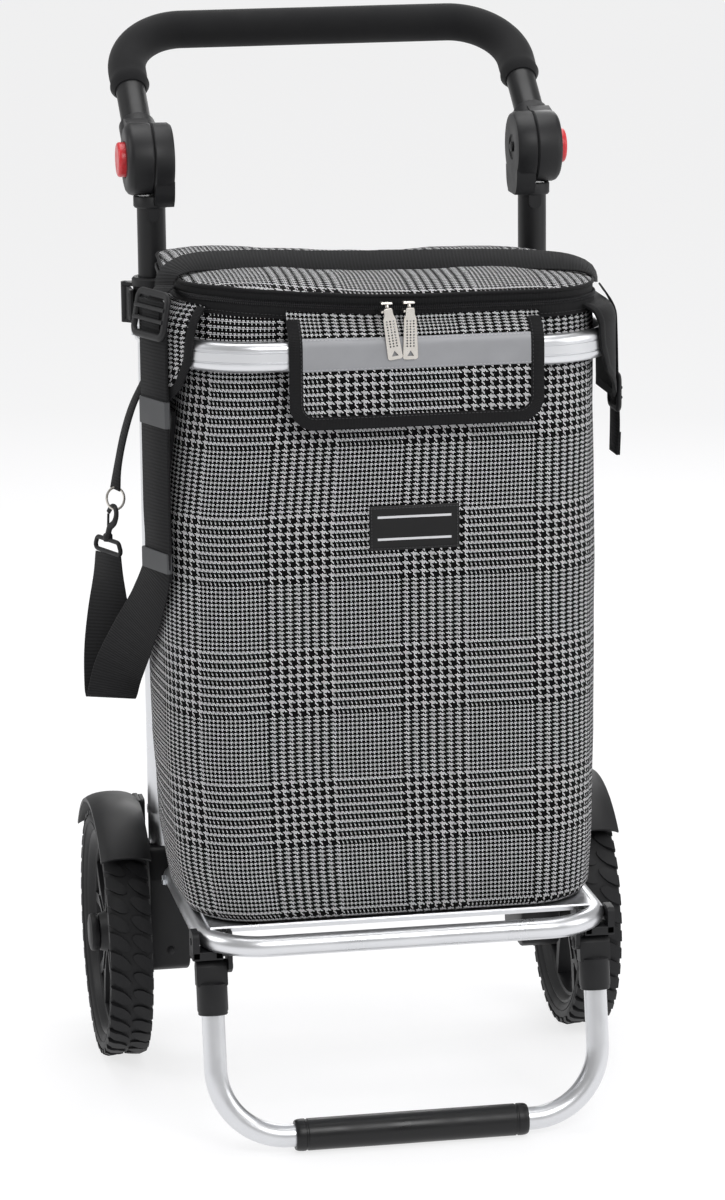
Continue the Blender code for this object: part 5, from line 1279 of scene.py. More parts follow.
for side, _ in SIDES:
    low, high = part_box(f"zip_slider_{side}")
    low_p, high_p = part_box(f"zip_pull_{side}")
    x, front = (low.x + high.x) / 2, low.y - PLANE
    half, back = (high.x - low.x) / 2, high.y - PLANE
    bm = bmesh.new()
    for base, top in ((low.z - 0.0024, low.z - 0.0002), (high.z - 0.0004, high.z + 0.0014)):
        block(bm, (x - half, front + 0.0024, base), (x + half, front + 0.0125, top), 0.0009, 3)
    block(bm, (x - 0.0016, front + 0.0026, low.z - 0.001), (x + 0.0016, front + 0.0052, high.z + 0.001), 0.0006, 2)
    bridge = rounded([(x, front + 0.0030, high.z - 0.0008), (x, front - 0.0010, high.z - 0.0010),
                      (x, front - 0.0010, low.z - 0.0018), (x, front + 0.0034, low.z - 0.0018)], [0, 0.002, 0.002, 0],
                      0.0007)
    sweep(bm, bridge, flat_outline(0.0030, 0.0012), up=(1, 0, 0))
    soft(finished(f"slider_{side}", bm, nickel, f"zip_slider_{side}", f"zip_slider_{side}"))

    y = (low_p.y + high_p.y) / 2 - PLANE
    top, foot = high_p.z, high_p.z - PULL_LONG
    outline = rounded([(x - PULL_HALF * 0.55, 0, top), (x - PULL_HALF * 0.60, 0, top - 0.006),
                       (x - PULL_HALF * 0.82, 0, top - 0.010), (x - PULL_HALF, 0, foot), (x + PULL_HALF, 0, foot),
                       (x + PULL_HALF * 0.82, 0, top - 0.010), (x + PULL_HALF * 0.60, 0, top - 0.006),
                       (x + PULL_HALF * 0.55, 0, top)],
                      [0.0012, 0.002, 0.002, 0.0026, 0.0026, 0.002, 0.002, 0.0012], 0.0008, closed=True)
    bm = bmesh.new()
    half_thick, edge = PULL_THICK / 2, 0.0003
    plan_rows = []
    middle = Vector((x, 0, (top + foot) / 2))
    for depth, size in ((-half_thick, 0.965), (-half_thick + edge, 1.0), (half_thick - edge, 1.0), (half_thick, 0.965)):
        plan_rows.append([bm.verts.new(Vector((x + (p.x - x) * size, y + depth,
                                               middle.z + (p.z - middle.z) * (1 - (1 - size) * 0.3))))
                          for p in outline])
    for first, second in zip(plan_rows, plan_rows[1:]):
        for i in range(len(outline)):
            k = (i + 1) % len(outline)
            bm.faces.new((first[i], first[k], second[k], second[i]))
    bm.faces.new(plan_rows[0][::-1])
    bm.faces.new(plan_rows[-1])
    bmesh.ops.recalc_face_normals(bm, faces=bm.faces)
    cutter = bmesh.new()
    for row in range(10):
        for column in (-1, 0, 1):
            turned(cutter, [(0, -0.003), (0.00085, -0.003), (0.00085, 0.003), (0, 0.003)],
                   (x + column * 0.0031, y, top - 0.0120 - row * 0.0026), (0, 1, 0), 10)
    corners = [(x, top - 0.0395), (x + 0.0032, top - 0.0445), (x - 0.0032, top - 0.0445)]
    near = [cutter.verts.new((cx, y - 0.003, cz)) for cx, cz in corners]
    far = [cutter.verts.new((cx, y + 0.003, cz)) for cx, cz in corners]
    faces = [cutter.faces.new(near), cutter.faces.new(far[::-1])]
    faces += [cutter.faces.new((near[i], near[(i + 1) % 3], far[(i + 1) % 3], far[i])) for i in range(3)]
    bmesh.ops.recalc_face_normals(cutter, faces=faces)
    bm = cut_from(bm, cutter)
    if side == "left":  # the left pull hangs askew
        bmesh.ops.rotate(bm, verts=bm.verts, cent=(x, y, top - 0.001),
                         matrix=Matrix.Rotation(math.radians(-8.5), 3, "Y"))
    soft(finished(f"punched_pull_{side}", bm, nickel, f"zip_pull_{side}", f"zip_pull_{side}"))


# ---- front flap ---------------------------------------------------------------------------------------
# A flap of the check hangs from under the zip over the bow and hides it. Its raw edges are bound with
# black tape, and a grey reflective strip is sewn across it.

FLAP_X, FLAP_HALF, FLAP_BEND, FLAP_THICK, BOUND = 0.013, 0.119, 0.024, 0.0016, 0.0125
FLAP_COLUMNS, FLAP_ROWS = -0.054, 0.682
drop = smooth_path([(0, -0.2882, 0.7970), (0, -0.2896, 0.7915), (0, -0.2978, 0.7868), (0, -0.3066, 0.7772),
                    (0, -0.3086, 0.7650),
                    (0, -0.3086, 0.7450), (0, -0.3086, 0.7200), (0, -0.3086, 0.6960)], 0.0022)
fall = np.concatenate([[0], np.cumsum(np.linalg.norm(np.diff(drop, axis=0), axis=1))])
FLAP_LONG = float(fall[-1])


def on_flap(x, down, off=0.0):
    """The place and outward direction on the flap's face, by x and the distance down it."""
    y, z = np.interp(down, fall, drop[:, 1]), np.interp(down, fall, drop[:, 2])
    before, after = np.clip([down - 0.001, down + 0.001], 0, FLAP_LONG)
    ahead = Vector((0, np.interp(after, fall, drop[:, 1]) - np.interp(before, fall, drop[:, 1]),
                    np.interp(after, fall, drop[:, 2]) - np.interp(before, fall, drop[:, 2]))).normalized()
    out = Vector((1, 0, 0)).cross(ahead)
    out = -out if out.y > 0 else out
    free = min(1.0, max(0.0, down - 0.030) / 0.05)
    wave = free * (0.0009 * noise.noise(Vector((x * 20, down * 16, 5.0))) - 0.0006)
    z += rise(x) * max(0.0, 1 - down / 0.035)
    return Vector((x, y, z)) + out * (off + wave), out


def flap_edge(down, inset=0.0):
    """How far from its middle the flap reaches at a distance down it, with its rounded lower corners."""
    into = down - (FLAP_LONG - FLAP_BEND)
    if into <= 0:
        return FLAP_HALF - inset
    into = min(into, FLAP_BEND - inset)
    return FLAP_HALF - FLAP_BEND + math.sqrt(max(0.0, (FLAP_BEND - inset) ** 2 - into ** 2))


def two_layers(bm, uv, layers, place_of, flip_back=False):
    """A cloth from its back and front grids of verts: both are faced, joined round their edges and laid out."""
    for layer, flip in zip(layers, (flip_back, False)):
        for upper, lower in zip(layer, layer[1:]):
            for i in range(len(upper) - 1):
                corners = (upper[i], lower[i], lower[i + 1], upper[i + 1])
                bm.faces.new(corners[::-1] if flip else corners)
    behind, ahead = layers
    for one, other in ((behind[0], ahead[0]), (behind[-1], ahead[-1]), ([r[0] for r in behind], [r[0] for r in ahead]),
                       ([r[-1] for r in behind], [r[-1] for r in ahead])):
        for i in range(len(one) - 1):
            bm.faces.new((one[i], one[i + 1], other[i + 1], other[i]))
    bmesh.ops.recalc_face_normals(bm, faces=bm.faces)
    for face in bm.faces:
        for loop in face.loops:
            loop[uv].uv = place_of[loop.vert]


bm = bmesh.new()
uv = bm.loops.layers.uv.new("cloth")
downs = list(np.linspace(0, FLAP_LONG - FLAP_BEND, 22)) + [FLAP_LONG - FLAP_BEND * (1 - math.sin(a)) for a in
                                                          np.linspace(0, math.pi / 2, 13)[1:-1]]
layers = []
for off in (-FLAP_THICK / 2, FLAP_THICK / 2):
    layers.append([[bm.verts.new(on_flap(FLAP_X + t * flap_edge(down), down, off)[0]) for t in np.linspace(-1, 1, 49)]
                   for down in downs])
two_layers(bm, uv, layers, {vert: (vert.co.x + FLAP_COLUMNS, FLAP_ROWS + FLAP_LONG - down)
                            for layer in layers for down, row in zip(downs, layer) for vert in row}, flip_back=True)
flap = soft(finished("front_flap_cloth", bm, check_fabric, "bag", "front_flap", smooth=70))


def flap_outline(inset, off, from_down=0.0085):
    """Down the left edge, along the bottom and up the right one, at an inset from the cut edge."""
    bend = FLAP_BEND - inset
    corners = rounded([(FLAP_X - FLAP_HALF + inset, from_down, 0), (FLAP_X - FLAP_HALF + inset, FLAP_LONG - inset, 0),
                       (FLAP_X + FLAP_HALF - inset, FLAP_LONG - inset, 0), (FLAP_X + FLAP_HALF - inset, from_down, 0)],
                      [0, bend, bend, 0], 0.002)
    filled = [corners[0]]
    for point in corners[1:]:
        count = max(1, int((point - filled[-1]).length / 0.003))
        start = filled[-1]
        filled += [start.lerp(point, (k + 1) / count) for k in range(count)]
    pairs = [on_flap(p.x, p.y, off) for p in filled]
    return [p for p, _ in pairs], [o for _, o in pairs]


path, outs = flap_outline(BOUND / 2 - 0.0006, 0.0)
bm = bmesh.new()
outline = [(-BOUND / 2, -0.0015), (BOUND / 2, -0.0015), (BOUND / 2 + 0.0002, -0.0004), (BOUND / 2, 0.0017),
           (BOUND / 2 - 0.002, 0.0021), (0, 0.0024), (-BOUND / 2 + 0.002, 0.0021), (-BOUND / 2, 0.0015)]
sweep(bm, path, outline, up=outs)
flap_binding = soft(finished("flap_binding", bm, binding, "bag", smooth=50))
stitched = flap_outline(BOUND - 0.0024, 0.0022)
flap_stitches = stitches("flap_binding_stitches", [stitched], thread, "bag")

# Reflective tape: tiny glass beads on grey foil, matt and even by day, with faint dents.
reflective = coated("glass_bead_tape", "webbing", "8b8c8f", 0.5,
                    (5.0, 0.12, 0.42, 0.55, 30), ("828386", "949598"), Metallic=0.15, Sheen_Weight=0.2)
STRIP_FROM, STRIP_WIDE = 0.0265, 0.0290
bm = bmesh.new()
uv = bm.loops.layers.uv.new("cloth")
inner = FLAP_HALF - BOUND + 0.001
strip_rows = []
for k, off in ((0, 0.0008), (0, 0.0014), *((j / 8, 0.0015) for j in range(1, 8)), (1, 0.0014), (1, 0.0008)):
    strip_rows.append([bm.verts.new(on_flap(FLAP_X + t * inner, STRIP_FROM + STRIP_WIDE * k, off)[0])
                       for t in np.linspace(-1, 1, 45)])
for upper, lower in zip(strip_rows, strip_rows[1:] + strip_rows[:1]):
    for i in range(44):
        bm.faces.new((upper[i], lower[i], lower[i + 1], upper[i + 1]))
for end in (0, -1):
    bm.faces.new([row[end] for row in strip_rows])
bmesh.ops.recalc_face_normals(bm, faces=bm.faces)
strip = soft(finished("reflective_strip", bm, reflective, "bag", smooth=40))
runs = []
for down in (STRIP_FROM + 0.0016, STRIP_FROM + STRIP_WIDE - 0.0016):
    pairs = [on_flap(FLAP_X + t * (inner - 0.001), down, 0.0016) for t in np.linspace(-1, 1, 90)]
    runs.append(([p for p, _ in pairs], [o for _, o in pairs]))
strip_stitches = stitches("strip_stitches", runs, pale_thread, "bag")


# It wraps the bow's front corner and hides its inside; its front edge is bound in black. The right ear is cut wholly
# from the black tape, a painted shade for the shadow that falls on it.

EAR_BACK, EAR_LOW, EAR_THICK = -0.150, 0.701, 0.0016
CORNER_X, CORNER_Y = HOOP_X - HOOP_BEND, HOOP_FRONT + HOOP_BEND
EAR_STRAIGHT = EAR_BACK - CORNER_Y
over = HOOP_THICK / 2 + 0.0022
ear_drop = smooth_path([(-0.0098, 0.7965, 0), (-0.0030, 0.7955, 0), (0.0050, 0.7915, 0), (over, 0.7815, 0),
                        (over, 0.7700, 0),
                        (over, 0.735, 0), (over, EAR_LOW, 0)], 0.003)
ear_fall = np.concatenate([[0], np.cumsum(np.linalg.norm(np.diff(ear_drop[:, :2], axis=0), axis=1))])


def on_ear(sign, along_ear, down, off=0.0):
    """The place and outward direction on an ear, by distance forward from its back edge and down."""
    reach, z = np.interp(down, ear_fall, ear_drop[:, 0]), np.interp(down, ear_fall, ear_drop[:, 1])
    turn = max(0.0, along_ear - EAR_STRAIGHT) / (HOOP_BEND + over)
    out = Vector((sign * math.cos(turn), -math.sin(turn), 0))
    base = Vector((sign * CORNER_X, CORNER_Y, 0)) + out * (HOOP_BEND + reach)
    if along_ear < EAR_STRAIGHT:
        base.y = EAR_BACK - along_ear
    ripple = min(1.0, max(0.0, down - 0.035) / 0.05) * 0.0011 * noise.noise(Vector((along_ear * 34, down * 20, sign)))
    base += out * (off + ripple)
    base.z = z + rise(base.x) * max(0.0, 1 - down / 0.026)
    return base, out


def ear_front(down):
    """The bound front edge leans back as it goes down, faster at its foot."""
    z = np.interp(down, ear_fall, ear_drop[:, 1])
    turn = math.radians(float(np.interp(z, [0.700, 0.712, 0.735, 0.757, 0.797], [4, 18, 36, 43, 47])))
    return EAR_STRAIGHT + turn * (HOOP_BEND + over)


for side, sign in SIDES:
    bm = bmesh.new()
    uv = bm.loops.layers.uv.new("cloth")
    layers, place_of = [], {}
    for off in (-EAR_THICK / 2, EAR_THICK / 2):
        layer = []
        for down in np.linspace(0, ear_fall[-1], 26):
            row = []
            for t in np.linspace(0, 1, 33):
                s = t * ear_front(down)
                row.append(bm.verts.new(on_ear(sign, s, down, off)[0]))
                place_of[row[-1]] = (0.30 - s if sign < 0 else 0.02 + s, 0.797 - down)
            layer.append(row)
        layers.append(layer)
    two_layers(bm, uv, layers, place_of)
    ear_area = sum(face.calc_area() for face in bm.faces) / 2
    # The left ear is check; the right one takes the black tape in place of the check, as painted shade.
    ear_cloth_black_shade_at_right = check_fabric if sign < 0 else binding
    ear = soft(finished(f"ear_{side}", bm, ear_cloth_black_shade_at_right, "bag", f"side_ear_{side}", smooth=70))
    edge = [on_ear(sign, ear_front(d) - 0.0030, d) for d in np.linspace(0.004, ear_fall[-1] - 0.001, 44)]
    foot = [on_ear(sign, s, ear_fall[-1] - 0.0020) for s in np.linspace(ear_front(ear_fall[-1]) - 0.006, 0.002, 26)]
    bm = bmesh.new()
    path, outs = [p for p, _ in edge + foot], [o for _, o in edge + foot]
    outline = [(-0.0040, -0.0014), (0.0040, -0.0014), (0.0042, 0.0012), (0.0022, 0.0018), (0, 0.0020),
               (-0.0022, 0.0018), (-0.0042, 0.0012)]
    sweep(bm, path, outline, up=outs)
    bound = soft(finished(f"ear_binding_{side}", bm, binding, "bag", smooth=50))


# ---- carry webbing -------------------------------------------------------------------------------------
# A loop of webbing lies across the lid and is sewn down at both of its corners; it carries the bag
# by hand. It doesn't lie flat, so its front edge droops.

bm = bmesh.new()
carry = [(-0.2098, -0.2235, 0.8050, -0.9, -0.40, 0.2), (-0.2065, -0.2200, 0.8155, -0.8, -0.42, 0.6),
         (-0.1960, -0.2140, 0.8230, -0.4, -0.45, 1.0), (-0.1720, -0.2080, 0.8275, -0.1, -0.52, 1.0),
         (-0.1100, -0.2020, 0.8310, 0.0, -0.62, 1.0), (-0.0400, -0.1985, 0.8325, 0.0, -0.66, 1.0),
         (0.0400, -0.1990, 0.8330, 0.0, -0.66, 1.0), (0.1100, -0.2010, 0.8318, 0.0, -0.60, 1.0),
         (0.1680, -0.2040, 0.8285, 0.1, -0.50, 1.0), (0.1930, -0.2080, 0.8235, 0.5, -0.42, 1.0),
         (0.2020, -0.2110, 0.8165, 0.9, -0.35, 0.5), (0.2042, -0.2130, 0.8085, 1.0, -0.30, 0.1)]
strap_run(bm, [(x, y, z + rise(x), *facing) for x, y, z, *facing in carry], 0.030, 0.0020)
soft(finished("carry_webbing_loop", bm, webbing, "lid", "carry_webbing", smooth=60))


# Its mouth and its front edge are bound; its foot and back edge are turned under.

POCKET_TOP, POCKET_FOOT, POCKET_FRONT, POCKET_BACK = 0.700, 0.530, -0.2330, -0.1020
left_side = [c for c in range(RING) if reference[c, 0] < -0.15 and POCKET_FRONT < reference[c, 1] < POCKET_BACK]
pocket_heights = np.linspace(POCKET_FOOT, POCKET_TOP, 46)


def on_bag(column, z, off):
    """A place over the bag's wall: a ring column, a height, and how far it stands off."""
    spot = [np.interp(z, heights, rings[:, column, axis]) for axis in (0, 1)]
    row = int(np.argmin(np.abs(np.array(heights) - z)))
    out = Vector(outward[row, column])
    return Vector((*spot, z)) + out * off, out


def pocket_swell(share_along, share_up):
    """Loose in the middle and at its mouth, tight where it is sewn."""
    side_pull = math.sin(math.pi * min(max(share_along, 0.0), 1.0)) ** 0.6
    low_pull = min(1.0, share_up / 0.12) ** 0.7
    fold = 0.0009 * noise.noise(Vector((share_along * 3.0, share_up * 7.0, 7.7)))
    return 0.0012 + (0.0026 + fold) * side_pull * low_pull


bm = bmesh.new()
uv = bm.loops.layers.uv.new("cloth")
layers, place_of = [], {}
for off in (-0.0006, 0.0010):
    layer = []
    for z in pocket_heights:
        row = []
        for i, column in enumerate(left_side):
            swell = pocket_swell(i / (len(left_side) - 1), (z - POCKET_FOOT) / (POCKET_TOP - POCKET_FOOT))
            row.append(bm.verts.new(on_bag(column, z, swell + off)[0]))
            place_of[row[-1]] = (along[column] + 0.040, z + 0.030)
        layer.append(row)
    layers.append(layer)
two_layers(bm, uv, layers, place_of)
pocket = soft(finished("side_pocket", bm, check_fabric, "bag", smooth=70))
corner_up = [on_bag(left_side[-1], z, 0.0030) for z in pocket_heights]
mouth = [on_bag(column, POCKET_TOP, 0.0024 + pocket_swell(i / (len(left_side) - 1), 1.0) - 0.0012)
         for i, column in reversed(list(enumerate(left_side)))][1:]
bm = bmesh.new()
sweep(bm, [p for p, _ in corner_up + mouth], [(-0.0042, -0.0020), (0.0042, -0.0020), (0.0044, 0.0012),
      (0.0020, 0.0021), (-0.0020, 0.0021), (-0.0044, 0.0012)], up=[o for _, o in corner_up + mouth])
bound = soft(finished("pocket_binding", bm, binding, "bag", smooth=50))


# ---- shoulder strap ------------------------------------------------------------------------------------
# Webbing hangs doubled from a slider buckle at the left, turns to face the front, folds at the foot
# and comes back up behind to a snap hook. Two rubber keepers hold its layers together.

STRAP_WIDE, LAYER = 0.048, 0.0017
turn = math.radians(22)
face_out, along_width = Vector((-math.cos(turn), -math.sin(turn), 0)), Vector((math.sin(turn), -math.cos(turn), 0))
strap_at = Vector((-CORNER_X, CORNER_Y, 0)) + face_out * (HOOP_BEND + 0.0143) - along_width * 0.0122
outer, inner = strap_at + face_out * 0.0010, strap_at - face_out * 0.0010
bm = bmesh.new()
strap_run(bm, [(*outer.xy, 0.812, *face_out), (*outer.xy, 0.700, *face_out), (*outer.xy, 0.620, *face_out),
               (*outer.xy, 0.562, *face_out), (-0.2300, -0.2180, 0.520, -0.82, -0.57, 0.05),
               (-0.2410, -0.1820, 0.478, -0.55, -0.83, 0.06), (-0.2505, -0.1480, 0.440, -0.25, -0.97, 0.02),
               (-0.2545, -0.1300, 0.414, -0.12, -0.99, -0.10), (-0.2555, -0.1215, 0.4060, -0.08, -0.45, -0.89),
               (-0.2560, -0.1140, 0.4115, 0.0, 0.75, -0.66), (-0.2555, -0.1090, 0.4350, 0.15, 0.98, -0.10),
               (-0.2540, -0.1040, 0.4800, 0.60, 0.80, 0.0), (-0.2525, -0.1000, 0.5200, 0.86, 0.50, 0.0),
               (-0.2520, -0.0985, 0.5430, 0.92, 0.39, 0.0)], STRAP_WIDE, LAYER)
strap_run(bm, [(*inner.xy, 0.798, *face_out), (*inner.xy, 0.700, *face_out), (*inner.xy, 0.620, *face_out),
               (*inner.xy, 0.548, *face_out)], STRAP_WIDE - 0.002, LAYER)
strap_run(bm, [(-0.2090, -0.2310, 0.8230, -0.86, -0.36, 0.4), (-0.2150, -0.2345, 0.8180, -0.90, -0.36, 0.3),
               (*outer.xy, 0.8060, *face_out), (*(outer + face_out * 0.0018).xy, 0.7860, *face_out)],
          STRAP_WIDE - 0.016, LAYER)
soft(finished("shoulder_strap_webbing", bm, webbing, "bag", "shoulder_strap", smooth=60))

keeper_rubber = coated("keeper_rubber", "black_plastic", "3a3b3d", 0.5,
                       (0.9, 0.02, 0.42, 0.58), ("333436", "434446"))
bm = bmesh.new()
for low_z, high_z in ((0.694, 0.719), (0.556, 0.575)):
    shape = flat_outline(STRAP_WIDE + 0.0026, 0.0060, 0.32)
    at = strap_at + face_out * 0.0005 + (along_width * -0.0015 if low_z < 0.6 else Vector())
    levels = [(low_z, 0.975), (low_z + 0.0008, 1.0), (high_z - 0.0008, 1.0), (high_z, 0.975)]
    sweep(bm, [at + Vector((0, 0, z)) for z, _ in levels], shape, up=face_out, scales=[s for _, s in levels])
soft(finished("strap_keepers", bm, keeper_rubber, "bag"))

# The slider buckle: a moulded frame with a bar across it, bowed to the strap.
bm = bmesh.new()
upward = (Vector((0, 0, 1)) - face_out * 0.20).normalized()
buckle_out = along_width.cross(upward).normalized()
buckle_out = buckle_out if buckle_out.dot(face_out) > 0 else -buckle_out
middle = outer + Vector((0, 0, 0.7985)) + face_out * 0.0006
half_wide, half_tall = STRAP_WIDE / 2 + 0.003, 0.0195
corners = [middle + along_width * u + upward * v + buckle_out * 0.0010
           for u, v in ((-half_wide, -half_tall), (half_wide, -half_tall), (half_wide, half_tall),
                        (-half_wide, half_tall))]
sweep(bm, rounded(corners, [0.007] * 4, 0.0015, closed=True), [(x * 1.35, y) for x, y in round_outline(0.0027, 12)],
      up=buckle_out, closed=True)
for lift in (-0.0050, 0.0060):
    start = middle - along_width * half_wide + upward * lift + buckle_out * 0.0030
    sweep(bm, [start, start + along_width * half_wide * 2], round_outline(0.0021, 12), up=upward)
soft(finished("strap_slider_buckle", bm, moulded, "bag"))

# The snap hook: a moulded swivel and a hook with a spring gate; a wire ring hangs beside it.
hook_base, hook_wide = Vector((-0.2520, -0.0985, 0.5430)), Vector((0.39, -0.92, 0)).normalized()


def on_hook(points):
    """Points given along the hook's width and up, leaning towards the ring as they rise."""
    return [hook_base + hook_wide * u + Vector((0.20 * max(0.0, v - 0.018), 0, v)) for u, v in points]


bm = bmesh.new()
bar = on_hook([(-0.026, 0.002), (0.026, 0.002), (0.020, 0.0140), (-0.020, 0.0140)])
across_hook = hook_wide.cross(Vector((0, 0, 1)))
sweep(bm, rounded(bar, [0.004, 0.004, 0.005, 0.005], 0.001, closed=True), round_outline(0.0022, 12), up=across_hook,
      closed=True)
turned(bm, [(0, 0.0125), (0.0042, 0.0125), (0.0046, 0.0140), (0.0046, 0.0185), (0.0036, 0.0200), (0, 0.0200)],
       hook_base, (0, 0, 1), 24)
bow_points = [Vector(p) for p in smooth_path([tuple(p) for p in on_hook(
    [(0, 0.0190), (0.001, 0.0260), (0.0075, 0.0320), (0.0085, 0.0400), (0.0040, 0.0460), (-0.0025, 0.0455),
     (-0.0065, 0.0400)])], 0.0015)]
sweep(bm, bow_points, [(x * 1.5, y) for x, y in round_outline(0.0022, 12)], up=across_hook,
      scales=list(np.linspace(1.15, 0.8, len(bow_points))))
sweep(bm, on_hook([(-0.0015, 0.0235), (-0.0062, 0.0385)]), round_outline(0.0012, 10), up=across_hook)
soft(finished("snap_hook", bm, moulded, "bag"))
bm = bmesh.new()
ring_middle = Vector((-0.2440, -0.1005, 0.5975))
ring_path = [ring_middle + Vector((0.0085 * math.cos(t), 0.0012 * math.sin(t), 0.0105 * math.sin(t)))
             for t in (math.tau * k / 40 for k in range(40))]
sweep(bm, ring_path, round_outline(0.0012, 10), up=(0, 1, 0), closed=True)
soft(finished("wire_ring", bm, nickel, "bag"))
bm = bmesh.new()
strap_run(bm, [(-0.2440, -0.1005, 0.6065, -0.9, -0.4, 0), (-0.2410, -0.1015, 0.6300, -1, -0.2, 0),
               (-0.2350, -0.1040, 0.6600, -1, -0.15, 0), (-0.2260, -0.1080, 0.6900, -1, -0.1, 0),
               (-0.2120, -0.1090, 0.7180, -1, -0.1, 0)], 0.018, 0.0018)
soft(finished("ring_tab", bm, webbing, "bag", smooth=60))


# ---- right side strap ----------------------------------------------------------------------------------
# A short strap hangs at the right with a side-release buckle; its end is folded and sewn.

low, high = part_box("side_strap_right")
strap_out, strap_y = (low.x + high.x) / 2, (low.y + high.y) / 2 - PLANE
bm = bmesh.new()
strap_run(bm, [(strap_out - 0.0125, strap_y, 0.8030, 0.94, -0.1, 0.3),
               (strap_out - 0.0060, strap_y, 0.7940, 0.92, -0.1, 0.4),
               (strap_out - 0.0006, strap_y, 0.7820, 0.99, -0.1, 0.1), (strap_out, strap_y, 0.7640, 1, -0.05, 0),
               (strap_out + 0.0006, strap_y, 0.7100, 1, 0, 0), (strap_out + 0.0012, strap_y, 0.6700, 1, 0.05, 0),
               (strap_out, strap_y, 0.6420, 1, 0, 0)], 0.030, 0.0018)
strap_run(bm, [(strap_out + 0.0022, strap_y, 0.6640, 1, 0.05, 0), (strap_out + 0.0020, strap_y, 0.6420, 1, 0, 0)],
          0.030, 0.0018)
soft(finished("right_strap_webbing", bm, webbing, "bag", "side_strap_right", smooth=60))
bm = bmesh.new()
ring = [(strap_out + 0.0006, strap_y - 0.0185, 0.687), (strap_out + 0.0006, strap_y + 0.0185, 0.687),
        (strap_out + 0.0006, strap_y + 0.0185, 0.719), (strap_out + 0.0006, strap_y - 0.0185, 0.719)]
sweep(bm, rounded(ring, [0.006] * 4, 0.0015, closed=True), [(x * 1.3, y) for x, y in round_outline(0.0026, 12)],
      up=(1, 0, 0), closed=True)
for z in (0.6985, 0.7080):
    sweep(bm, [Vector((strap_out + 0.0022, strap_y - 0.0185, z)), Vector((strap_out + 0.0022, strap_y + 0.0185, z))],
          round_outline(0.0020, 12), up=(0, 0, 1))
soft(finished("right_strap_buckle", bm, moulded, "bag"))


# ---- woven label ---------------------------------------------------------------------------------------
# A black satin label with two plain woven stripes is sewn on the front at its four edges.

LABEL_X, LABEL_Z, LABEL_WIDE, LABEL_TALL = 0.0125, 0.5965, 0.0855, 0.0420
satin, tree, shader = surface("black_satin_weave", "webbing", "09090a", 0.38, Specular_IOR_Level=0.3)
cloth = add(tree, "ShaderNodeUVMap", uv_map="cloth").outputs["UV"]
apart = add(tree, "ShaderNodeSeparateXYZ", {"Vector": cloth})
from_middle = add(tree, "ShaderNodeMath", {0: apart.outputs["Y"]}, operation="ABSOLUTE").outputs[0]
striped = add(tree, "ShaderNodeMath", {0: from_middle, 1: 0.0105, 2: 0.0011}, operation="COMPARE").outputs[0]
inside = add(tree, "ShaderNodeMath", {0: add(tree, "ShaderNodeMath", {0: apart.outputs["X"]},
                                             operation="ABSOLUTE").outputs[0],
                                      1: 0.0350}, operation="LESS_THAN").outputs[0]
shown = add(tree, "ShaderNodeMath", {0: striped, 1: inside}, operation="MULTIPLY").outputs[0]
mix = add(tree, "ShaderNodeMix", {"Factor": shown, 6: linear("09090a"), 7: linear("c9c9cc")}, data_type="RGBA")
tree.links.new(mix.outputs[2], shader.inputs["Base Color"])
weft = add(tree, "ShaderNodeTexWave", {"Vector": cloth, "Scale": 420.0, "Distortion": 0.6}, bands_direction="Y")
relief = add(tree, "ShaderNodeBump", {"Height": weft.outputs["Fac"], "Distance": 0.00012, "Strength": 0.5})
tree.links.new(relief.outputs["Normal"], shader.inputs["Normal"])


def on_front(x, z, off):
    """A place over the bag's front face, by x and height."""
    column = int(np.argmin(np.hypot(reference[:, 0] - x, (reference[:, 1] - BAG_FRONT) * 3)))
    ahead, beside = (column - 1) % RING, (column + 1) % RING
    spots = [on_bag(c, z, off) for c in (ahead, column, beside)]
    order = sorted(spots, key=lambda s: s[0].x)
    y = float(np.interp(x, [s[0].x for s in order], [s[0].y for s in order]))
    return Vector((x, y, z)), spots[1][1]


bm = bmesh.new()
uv = bm.loops.layers.uv.new("cloth")
rows = []
for shrink, off in ((0.992, 0.0002), (1.0, 0.0006), (1.0, 0.0010), (0.985, 0.0013)):
    for_row = []
    corner = [(-LABEL_WIDE / 2, -LABEL_TALL / 2), (LABEL_WIDE / 2, -LABEL_TALL / 2), (LABEL_WIDE / 2, LABEL_TALL / 2),
              (-LABEL_WIDE / 2, LABEL_TALL / 2)]
    for k in range(4):
        (ax, az), (bx, bz) = corner[k], corner[(k + 1) % 4]
        count = 24 if k % 2 == 0 else 12
        for t in np.arange(count) / count:
            for_row.append(((ax + (bx - ax) * t) * shrink, (az + (bz - az) * t) * (1 - (1 - shrink) * 2)))
    rows.append([bm.verts.new(on_front(LABEL_X + u, LABEL_Z + v, off)[0]) for u, v in for_row])
for first, second in zip(rows, rows[1:]):
    for i in range(len(first)):
        k = (i + 1) % len(first)
        bm.faces.new((first[i], first[k], second[k], second[i]))
grid = [[None] * 25 for _ in range(13)]
for i in range(24):
    grid[0][i], grid[12][24 - i] = rows[-1][i], rows[-1][36 + i]
for j in range(12):
    grid[j][24], grid[12 - j][0] = rows[-1][24 + j], rows[-1][60 + j]
for j in range(13):
    for i in range(25):
        if grid[j][i] is None:
            u, v = (i / 24 - 0.5) * LABEL_WIDE * 0.985, (j / 12 - 0.5) * LABEL_TALL * 0.97
            grid[j][i] = bm.verts.new(on_front(LABEL_X + u, LABEL_Z + v, 0.0013)[0])
for j in range(12):
    for i in range(24):
        bm.faces.new((grid[j][i], grid[j][i + 1], grid[j + 1][i + 1], grid[j + 1][i]))
bm.faces.new(rows[0][::-1])
bmesh.ops.recalc_face_normals(bm, faces=bm.faces)
for face in bm.faces:
    for loop in face.loops:
        loop[uv].uv = (loop.vert.co.x - LABEL_X, loop.vert.co.z - LABEL_Z)
label = soft(finished("woven_label", bm, satin, "bag", smooth=40))
margin = 0.0020
